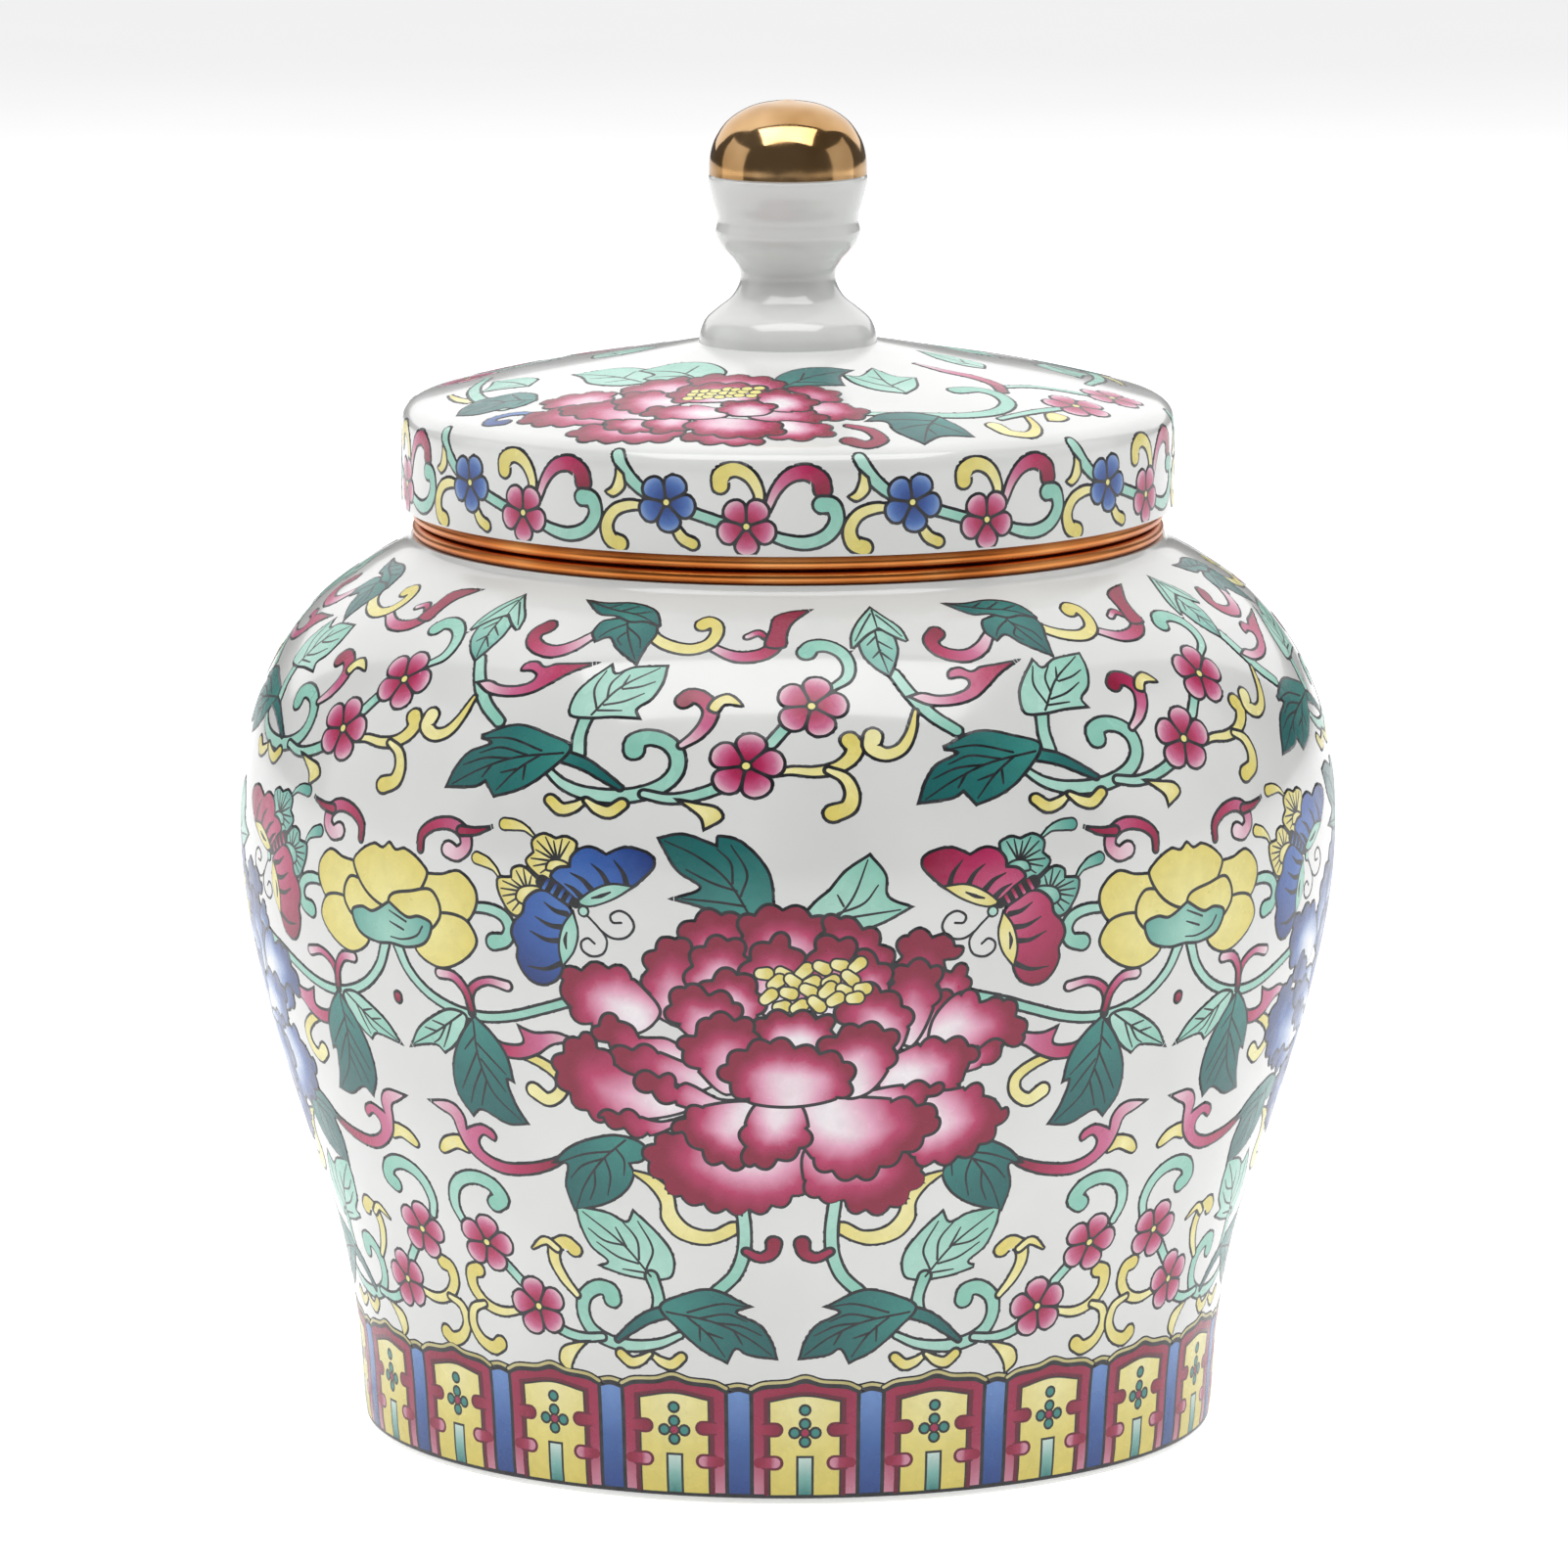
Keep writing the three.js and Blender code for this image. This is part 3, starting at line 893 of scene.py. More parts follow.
def garland():
    """The shoulder's garland of leaves, curls and small flowers. x is in degrees, y along the profile."""
    s = Sheet(1.32, 360 / 7, -44.5)
    # The stems and the curls on them.
    s.band([(-39, 141.5), (-37.5, 137.5), (-35.5, 133.8), (-33, 131)], (2.0, 2.2, 2.0), "mint")
    s.band([(-22.7, 126.8), (-22.9, 130), (-22.3, 134.5)], (2.2, 2.0, 2.2), "mint")
    s.band([(-25.9, 123.9), (-24, 121.9), (-21.5, 120.7), (-18, 120.4), (-15, 121.2), (-12.8, 122.8),
            (-11.7, 125), (-11.8, 127.5), (-13, 129.4), (-15, 130.1), (-16.6, 129.2), (-16.5, 127.9)],
           (1.2, 1.8, 2.2, 2.3, 2.3, 2.3, 2.4, 2.6, 3.2), "mint")
    s.band([(-15, 121), (-12.5, 120.4), (-10.3, 120.8), (-7.8, 122), (-5.6, 123.8)], (1.4, 1.7, 1.9, 2.0),
           "mint")
    s.band([(-1.8, 129.6), (-0.2, 132.4)], (1.9, 1.9), "mint")
    s.band([(5.2, 139.3), (6.8, 141), (7.2, 143.5), (6.5, 146), (4.8, 147.6), (3, 147.5), (2.2, 146.2)],
           (1.3, 1.9, 2.2, 2.5, 2.8, 3.2), "mint")
    # Crimson flames and curls.
    s.blob([(-37.8, 137.2, TIP), (-35.6, 135.6), (-32.6, 135.4), (-30, 136.4), (-28, 138.4), (-26, 140.6),
            (-22.9, 142.9, TIP), (-26, 142.4), (-28.4, 142), (-29.6, 141.3), (-31, 142.2), (-32.4, 141.6),
            (-32.6, 140.2), (-31.2, 140.3), (-30.3, 139.6), (-30.6, 138.4), (-32.2, 137.4), (-34.4, 137.2),
            (-36.2, 137.8)], "pink_out", (-37.6, 137))
    s.band([(-32.2, 149.8), (-33.3, 148.2), (-33, 146.2), (-31.4, 144.8), (-29.3, 144.5), (-27.2, 145.9),
            (-25.4, 148.5)], (3.0, 2.6, 2.6, 2.6, 2.4, 1.8), "pink")
    s.band([(-9.5, 147.2), (-6.5, 145.3), (-3.7, 145.5), (-2, 147), (-1.5, 149)], (1.6, 2.3, 2.6, 2.6),
           "pink_out")
    s.band([(-2.6, 149.3), (-3.8, 150.6), (-5.2, 149.7)], (1.0, 1.5, 1.3), "pink")
    s.blob([(-2.8, 147.6), (-0.4, 147.4), (-0.1, 150.4), (0.6, 152.9), (3.2, 156.4, TIP), (0.2, 155.9),
            (-1.9, 154.4), (-2.4, 151.2)], "crimson", (-3.5, 146))
    s.band([(-11.4, 129), (-9.9, 130.7), (-8.8, 133), (-8.6, 135.2), (-9.6, 137), (-11, 137.5),
            (-11.7, 136.6)], (1.2, 1.9, 2.3, 2.5, 2.6, 2.8), "pink_out")
    s.blob([(-8.9, 135.3), (-8.2, 137.2), (-6.6, 138), (-5, 135.9), (-7, 136), (-7.8, 134.6)], "yellow")
    # Yellow curls.
    s.band([(-19, 151.8), (-18.3, 150.7), (-16.5, 148.4), (-14.3, 147), (-11.9, 146.6), (-10, 147.8),
            (-9.2, 150), (-9.4, 152.1), (-10.6, 153), (-11.2, 152.3)], (1.4, 2.0, 2.4, 2.5, 2.5, 2.4, 2.4,
                                                                        3.0), "yellow")
    s.band([(-1.4, 124.8), (0.4, 125.2), (2.8, 125), (5, 125.6), (6.5, 127), (7.1, 128.7), (6.6, 130)],
           (1.1, 1.5, 1.8, 2.0, 2.4, 2.9), "yellow")
    s.band([(4.2, 125.2), (5.9, 123.9), (6.6, 121.6), (6.2, 119.4), (4.6, 118.4)],
           (1.2, 1.8, 2.1, 2.5, 2.9), "yellow")
    s.band([(-42.3, 130.6), (-42.5, 128.8), (-41.1, 127.6), (-39.4, 128.4), (-38.2, 130.8), (-37.3, 134.6)],
           (2.9, 2.5, 2.1, 1.8, 1.4, 0.9), "yellow")
    s.blob([(-11.6, 120.4, TIP), (-9.4, 119.9), (-7.2, 119.2), (-6.6, 117.6), (-8.6, 115.6, TIP),
            (-8.9, 117.4), (-9.8, 118.6)], "yellow")
    moustache(s, -21.2, 119.1)
    # The folded mint leaf, its veined blade below the hood.
    blade = s.blob([(-42.2, 150.4), (-42.5, 146), (-41.2, 142.8), (-39.6, 141, TIP), (-38.6, 143.5),
                    (-37.8, 147), (-38.4, 150.6)], "mint_teal", (-40, 150))
    s.veins(blade, [(-40.2, 151), (-40.2, 146.5), (-39.7, 141.8)], [(-40.3, 149.5), (-41.6, 147.6)],
            [(-40.2, 148.5), (-38.6, 146.6)], [(-40.1, 146.4), (-41.2, 144.8)],
            [(-40, 145.8), (-38.9, 144)])
    hood = s.blob([(-40, 156.8, TIP), (-38.3, 154), (-36.7, 151.2), (-36.2, 147.8, TIP), (-38, 149.5),
                   (-39.6, 151.4, TIP), (-41.4, 149.8), (-43.7, 146.4, TIP), (-43.4, 150), (-42.2, 153.2)],
                  "mint", (-39.6, 151))
    s.veins(hood, [(-39.9, 156), (-39.8, 151.6)], [(-40.2, 155), (-41.6, 152), (-43, 148.6)],
            [(-39.5, 154.6), (-38, 151.8), (-36.9, 149.4)])
    # The dark leaf above it and the upright pale leaf.
    lower = s.blob([(-24.8, 152.3), (-25.6, 149.4), (-24.6, 147.2, TIP), (-23, 148.4), (-21.4, 146),
                    (-18.2, 142.9, TIP), (-17.6, 147), (-17, 150.2), (-18.2, 153)], "teal", (-21.5, 153))
    s.veins(lower, [(-21.8, 153), (-20.6, 149), (-18.6, 144)], [(-21.6, 151.6), (-23.4, 150),
                                                                (-24.4, 148.2)],
            [(-21.2, 151), (-19, 148.6), (-18.4, 146.4)], [(-20.9, 150), (-21.8, 148.2), (-21, 146.8)])
    upper = s.blob([(-29.4, 157, TIP), (-26.4, 156.6), (-22, 157), (-18.4, 155.4), (-16.6, 151.2, TIP),
                    (-19, 152.4), (-21.2, 152.2), (-23.6, 153.4), (-26, 153.6)], "teal", (-22, 152))
    s.veins(upper, [(-28.6, 156.6), (-24.5, 155), (-20.4, 153.9), (-17.2, 151.8)],
            [(-23.4, 154.6), (-21, 156.2)], [(-25.4, 155.2), (-23.6, 156.5)], [(-21, 154.2), (-18.8, 155)])
    leaf = s.blob([(-22.3, 132.8), (-24.6, 133.2), (-24.6, 136.6), (-23.3, 139.6), (-21.2, 142.7, TIP),
                   (-20.4, 141), (-18.4, 142.4), (-14.3, 143, TIP), (-14.4, 140), (-15.3, 136.8),
                   (-16.9, 134.7), (-16.4, 133.2, TIP), (-19.4, 133.2)], "mint", (-21.6, 134))
    s.veins(leaf, [(-22, 133.4), (-19.4, 138.4), (-15.2, 142.4)], [(-21.6, 134.6), (-22.4, 138),
                                                                   (-21.6, 141.4)],
            [(-20.6, 136.2), (-20.6, 139), (-19.4, 141.4)], [(-19.2, 138.4), (-18.6, 140.8)],
            [(-20.8, 135.2), (-18.6, 136), (-16.4, 137.6)], [(-19, 138.2), (-17, 138.8), (-15.4, 139.8)],
            [(-21.4, 134.2), (-18.6, 134.4)])
    # The large dark leaf with two tips, and its stalk.
    s.band([(-27, 126.9), (-24.3, 126.2), (-21.8, 125.2), (-19.8, 123.7), (-17.6, 121.8)],
           (1.6, 2.0, 2.0, 1.6, 1.0), "teal")
    leaf = s.blob([(-23.6, 127.8), (-26.4, 129.6), (-30.6, 130.8), (-35.2, 128.2, TIP), (-33.3, 127.4),
                   (-35.8, 125.6), (-37.2, 122.8), (-38, 119.6, TIP), (-34.2, 120.2), (-33.1, 121.2, TIP),
                   (-31.8, 118.9, TIP), (-28.6, 120.6), (-26, 123.4)], "teal", (-24, 127))
    s.veins(leaf, [(-24.4, 126.8), (-30, 125.4), (-34, 123), (-37.2, 120.2)],
            [(-27, 126.9), (-31, 128.4), (-34.4, 128)], [(-28.6, 126), (-32, 126.8), (-34.4, 125.6)],
            [(-30.6, 125.2), (-33.6, 124.9), (-36.2, 123.4)], [(-27, 126.2), (-29.4, 123.6), (-31.6, 120)],
            [(-29.6, 123.6), (-31.4, 122.8)], [(-28.6, 124.4), (-28.6, 122)],
            [(-32.6, 124), (-33.6, 121.8)])
    flower(s, -4.4, 125.9, 5.4, 80)
    flower(s, 2.6, 135.9, 5.4, 75)
    lay("shoulder_garland", "jar", s, BODY.by_angle, [(360 * k / 7, {}) for k in range(7)])


# The peony's petals from the back to the front: the point where each springs from, and its outline.
PEONY = [
    ((-6, 90), [(-10.2, 94), (-10.6, 99), (-9, 102), (-6.4, 102.8), (-4.8, 101.4), (-3.6, 98), (-3.8, 92)]),
    ((0, 90), [(-4.4, 96), (-4.4, 101.6), (-2.8, 103.1), (0, 103.6), (3.6, 101.2), (4, 96), (2, 91),
               (-2, 91)]),
    ((5, 90), [(3, 96), (3.7, 101.4), (5.2, 102.2), (6.4, 101), (8, 100), (9.2, 97.8), (10.5, 94), (8, 90),
               (4, 91)]),
    ((-10, 84), [(-9.4, 96), (-10.9, 98.6), (-12, 98), (-13.2, 96.8), (-14.2, 93.5), (-13.4, 86),
                 (-10, 84)]),
    ((12, 82), [(10.2, 90), (10.8, 94), (11.5, 99), (14.3, 98.8), (17.1, 96.4), (15.6, 94), (14.6, 88),
                (12.5, 82)]),
    ((15, 86), [(14.4, 90), (15.4, 92.4), (17.5, 93.2), (18.1, 91), (16.4, 87.6), (14.8, 87)]),
    ((12.5, 80), [(12.6, 88), (13.9, 90.6), (15.9, 89.2), (16.3, 85), (14.5, 81), (12.5, 80)]),
    ((12.2, 80), [(10, 88), (10.3, 92), (11.4, 94.1), (13.4, 94.3), (14.9, 93), (14.6, 87), (12.6, 80.5),
                  (10.8, 82)]),
    ((15, 81.5), [(14.5, 84.5), (16.2, 88.2), (17.8, 89.2), (20.2, 87.2), (22.1, 87.6), (23.6, 84.8),
                  (24.7, 81), (22.4, 79.4), (18, 79.4), (14.5, 80.5)]),
    ((17, 77), [(16.8, 79), (19.5, 79.8), (22.4, 80.1), (21.8, 78), (19.4, 75.8), (17, 76)]),
    ((11, 74), [(10, 78), (12, 80), (14.2, 81.2), (18.5, 80.5), (19.4, 77.6), (18, 75.5), (18, 73.2),
                (13, 71.5), (9.5, 73)]),
    ((-15, 83.5), [(-22.2, 85.2), (-22.6, 87.5), (-23, 91.4), (-19.7, 93.2), (-17, 93.2), (-14, 89.4),
                   (-12.8, 86), (-15, 82.5), (-19, 82.5)]),
    ((-10.5, 76.5), [(-19.9, 82.5), (-17.6, 85.1), (-15.2, 82), (-12, 81.6), (-8.5, 77), (-12, 75.5),
                     (-17, 78.6)]),
    ((-8, 73.5), [(-19, 78.2), (-17.2, 75.2), (-14.5, 75.6), (-9, 73), (-7, 75.5), (-10.5, 77.8),
                  (-15, 80)]),
    ((-12, 70), [(-22.8, 80), (-21, 81.6), (-19, 79), (-17, 75.8), (-12.5, 74), (-9, 71), (-12, 68.5),
                 (-17, 67.2), (-20.6, 67.2), (-23.2, 70.5), (-24.7, 75.4)]),
    ((-2, 68), [(-13.2, 65), (-15.5, 60.5), (-12.6, 54.2), (-10.3, 52.9), (-8.5, 51.9), (-5, 51.4),
                (-1.4, 52.5), (1.8, 56), (2, 63), (-4, 68)]),
    ((4, 68), [(1.9, 63), (1.6, 58), (3, 54), (5.7, 53.4), (8, 51.4), (12, 52.1), (14.9, 57.5), (12.8, 63),
               (7, 68)]),
    ((13, 70), [(13.8, 71.7), (17, 72.6), (20, 72.7), (21.9, 69.6), (23.5, 68.3), (22, 63.5), (18.6, 60.2),
                (14.2, 60.1), (12, 65)]),
    ((-6, 71), [(-16, 75), (-12.3, 75.2), (-11.6, 73.6), (-10.4, 74.2), (-7, 71.6), (-4, 71.5),
                (-8.5, 69.4), (-14.6, 72.3)]),
    ((-10, 69), [(-20.2, 67.4), (-15, 64.6), (-9.8, 69), (-13.5, 67.3), (-17.5, 68.6)]),
    ((8, 70.5), [(6, 71.9), (9, 73.2), (12, 73.8), (15.8, 73.2), (13.5, 70.2), (9, 69)]),
    ((-4, 71), [(-9.8, 69.8), (-12, 66), (-10.8, 64.8), (-9, 61.6), (-7.8, 60.3), (-5, 59.7), (-3.8, 61),
                (-2.5, 66), (-3, 71)]),
    ((4, 71.5), [(1.2, 71.4), (0.8, 66), (1.7, 63), (4, 59.1), (8, 57.5), (10.4, 59.4), (12.3, 61.4),
                 (14.5, 63.9), (16, 68), (13, 70.7), (7, 72)]),
    ((-1, 72), [(-3, 71.2), (-4.7, 66), (-4, 59.8), (1.1, 62.4), (2.2, 65.5), (1, 71.2)]),
    ((-6.5, 88), [(-9.6, 88), (-9.9, 92), (-8.8, 96.9), (-6, 98.7), (-4.2, 96.7), (-4, 90), (-6, 86)]),
    ((-1.5, 86), [(-4.6, 90), (-4.3, 94), (-3, 97.2), (-0.6, 99), (0.7, 96.8), (1.9, 94), (2, 88),
                  (-1, 85)]),
    ((3.5, 86), [(1.6, 90), (1.9, 94), (3, 98.2), (6, 98.2), (6.6, 93.5), (6.4, 88), (3.5, 85)]),
    ((8, 86), [(6.2, 92), (6.7, 96.4), (9.6, 94), (10, 90.5), (9.4, 86), (7, 85)]),
    ((-6, 84), [(-8.6, 90.3), (-5.6, 93.4), (-3.3, 91.2), (-2.6, 87), (-4.6, 84), (-7, 86)]),
    ((-8, 80), [(-12, 86), (-11.6, 88.5), (-10.2, 90.8), (-8.2, 89.8), (-6.1, 89.2), (-4.9, 87.5),
                (-5.8, 84), (-9, 81.5)]),
    ((9, 79.5), [(4.6, 87), (5.4, 89.2), (7, 90.6), (9, 90.4), (11.7, 87.2), (12.2, 84), (10.9, 79.3),
                 (8, 81)]),
    ((1, 79), [(-3.2, 84), (-2.4, 85.9), (0.3, 86.4), (3, 85.9), (4.4, 85), (4, 80), (0, 78), (-3, 80)]),
    ((-5, 72), [(-11, 80.5), (-9, 83.3), (-8, 85.7), (-5.8, 85.7), (-3.4, 84.2), (-3.2, 80), (-4.5, 74),
                (-6.5, 72.4), (-9, 76)]),
    ((7, 72), [(3, 80.5), (5.3, 83.2), (7, 84.4), (10.6, 82.7), (10.6, 78), (8.6, 73), (6, 71.8),
               (3.6, 75)]),
    ((0.5, 70), [(-6.8, 76.5), (-5.5, 79.2), (-2, 81.8), (1.5, 80.6), (6, 78), (6.2, 73), (2, 70.6),
                 (-3.4, 70.8), (-5.5, 73)]),
]
STAMENS_AFTER = 31  # how many petals lie behind the stamens


def petal(s, base, outline):
    """A petal with a dark rim, whose edge away from its base swells into round lobes."""
    lobe_width, lobe_height = 4.3, 1.15
    lobed_from = 0.55  # share of the petal's length
    root = np.array(s.to_sheet([base])[0])
    loop = ready(smooth(s.to_sheet(outline), closed=True, step=0.3))
    away = np.linalg.norm(loop - root, axis=1)
    start = int(np.argmin(away))
    loop, away = np.roll(loop, -start, 0), np.roll(away, -start)
    ahead = np.roll(loop, -1, 0) - loop
    step = np.linalg.norm(ahead, axis=1)
    outward = np.stack([ahead[:, 1], -ahead[:, 0]], 1) / step[:, None]
    on_edge = away > lobed_from * away.max()
    travelled = np.cumsum(step * on_edge)
    count = max(2, round(travelled[-1] / lobe_width))
    swell = np.abs(np.sin(math.pi * count * travelled / travelled[-1])) * on_edge
    s.tinted(loop + (lobe_height * (swell - 0.4 * on_edge))[:, None] * outward, root, "rose", rim=0.8)


def peony(s):
    for base, outline in PEONY[:STAMENS_AFTER]:
        petal(s, base, outline)
    for row in range(4):
        for k in range(6 - row % 2):
            x = -2.4 + 1.85 * (k + 0.5 * (row % 2)) + 0.25 * row + 0.2 * math.sin(7 * k + 3 * row)
            y = 93 - 1.8 * row + 0.25 * k + 0.35 * math.sin(5 * k + 2 * row)
            lean = 0.5 * math.sin(4 * k + row)
            s.band([(x - 0.35, y - lean), (x + 0.35, y + lean)], (1.9, 2.2), "yellow", 0.35)
    for base, outline in PEONY[STAMENS_AFTER:]:
        petal(s, base, outline)


def butterfly(s, wing, strip_colours, hind):
    """A butterfly with scalloped, flamed wings, striped hind wings, a striped body and curled feelers."""
    hind_wings = [
        ([(-25.9, 113.3), (-26.9, 114.4), (-28.2, 114.8), (-29.3, 114.8)],
         [(-21.2, 112.6), (-22.4, 113.7), (-23.5, 113.3, TIP), (-24.9, 113.9), (-26.1, 112.6),
          (-25.9, 110.8, TIP), (-26.7, 109.4), (-26, 107.9), (-24.2, 106.4), (-22.4, 108)],
         (-23.2, 109.6), [(-22, 112.9), (-22.8, 113.2), (-23.7, 112.8), (-24.6, 113.3), (-25.5, 112.6),
                          (-25.6, 111.2), (-26.1, 109.8), (-25.8, 108.6), (-25, 107.6)],
         [(-24.4, 108.2), (-24.1, 109.6), (-22.9, 109.9), (-22, 109.2), (-23.2, 108.2)]),
        ([(-29.6, 106.4), (-30.2, 107.6), (-31.2, 108.5), (-32.3, 109)],
         [(-24.9, 105.6), (-25.9, 107.4), (-27.1, 108.5), (-28.2, 107.9), (-28.3, 106.6, TIP),
          (-29.8, 106.2), (-29.8, 104.4), (-29.2, 102.4), (-28.4, 100.8), (-27.4, 100.4), (-26.4, 102.4)],
         (-26.4, 104.4), [(-26, 107), (-26.9, 108), (-27.7, 107.6), (-28.2, 106.2), (-29.2, 105.8),
                          (-29.4, 104.6), (-29.2, 103.4), (-28.7, 102.2), (-28.1, 101.2)],
         [(-27.7, 103.2), (-27.3, 104.9), (-25.8, 105.5), (-24.8, 105.1), (-26.2, 103.9), (-26.8, 102.4)]),
    ]
    for tail, outline, root, tips, spot in hind_wings:
        s.band(tail, (0.5, 1.0, 1.8, 2.0), hind, 0.4)
        fan = s.blob(outline, hind, root)
        s.veins(fan, *[[root, tip] for tip in tips])
        s.blob(spot, hind, line=0.4)
    wings = [
        ([(-21.2, 103.8), (-22.6, 105.6), (-23.9, 107.2), (-23.2, 108.6), (-21.9, 109, TIP), (-21.8, 110.4),
          (-20.9, 111.9), (-19.6, 112.3), (-18.1, 111.3, TIP), (-16.4, 112.5), (-14.7, 112.3),
          (-13.3, 111.2), (-13.2, 109.6), (-14.2, 107.8), (-15.3, 106.3), (-18, 104.2)],
         [[(-15.9, 106.4), (-16.3, 108.4), (-17.3, 110.4)], [(-17.8, 106.4), (-18.5, 108.2),
                                                             (-19.6, 109.6)],
          [(-19.6, 105.6), (-20.5, 107), (-21.8, 108)], [(-20.7, 104.4), (-21.5, 105.5), (-22.4, 106.2)]],
         [(-21.2, 103.3, TIP), (-19.6, 105.3), (-17.6, 106.6), (-15.2, 106.4, TIP), (-17.3, 104.2),
          (-19.8, 102.8)], [(-19.5, 104.2), (-18.6, 104.6), (-17.6, 105.3)]),
        ([(-21.7, 102.2), (-23.1, 103.8), (-24.4, 104.9), (-25.6, 104.6), (-26.7, 103), (-27, 101.1),
          (-27.9, 99.6), (-28.3, 97.6), (-27.7, 95.3, TIP), (-27.8, 93.4), (-27.2, 91.3), (-26.2, 89.8),
          (-24.8, 89.5), (-23.5, 90.5), (-22.8, 92.4), (-22.4, 97), (-21.6, 100)],
         [[(-22.2, 101.4), (-23.4, 101.8), (-24.6, 103)], [(-22.6, 99.2), (-24, 99.4), (-25.6, 100.6)],
          [(-22.8, 97), (-24.4, 97), (-26.2, 98.2)], [(-22.8, 93.4), (-24.6, 92.2), (-26.6, 92.4)]],
         [(-21.5, 101.9, TIP), (-22.6, 99.4), (-23.1, 96), (-22.8, 92.8, TIP), (-21.5, 95.4), (-21, 98.6)],
         [(-22.2, 98.4), (-22.4, 97.2), (-22.3, 95.8)]),
    ]
    for outline, flames, strip, slit in wings:
        blade = s.blob(outline, wing, (-21.4, 103))
        for flame in flames:
            s.band(flame, (1.0, 0.7, 0.2), None, inside=blade)
        edge = s.blob(strip, strip_colours, line=0.4)
        s.band(slit, (0.3, 0.7, 0.3), None, inside=edge)
    body = s.band([(-24.8, 106.2), (-22.9, 104.8), (-21.2, 103.1)], (2.2, 2.0, 1.4), "black", 0.2)
    for x, y in ((-24.4, 105.9), (-23.5, 105.3), (-22.7, 104.6), (-21.9, 103.9)):
        s.band([(x - 0.25, y - 0.7), (x + 0.25, y + 0.7)], (0.5, 0.5), wing, 0, body)
    s.dot(-20.4, 102, 0.85, "mint", 0.4)
    s.band([(-20, 101.3), (-19.2, 100.1), (-18.4, 98.8), (-17.3, 97.9), (-16, 98.2), (-15.2, 99.9),
            (-15.7, 101.7), (-16.7, 102.4), (-17.6, 101.6), (-17.4, 100.5), (-16.5, 100.5)],
           (0.4, 0.5, 0.45), None)
    s.band([(-18.4, 98.8), (-18, 97.3), (-18.4, 95.4), (-19.6, 94.8), (-20.6, 95.7), (-20.7, 97),
            (-20, 97.7), (-19.3, 96.9)], (0.4, 0.5, 0.45), None)


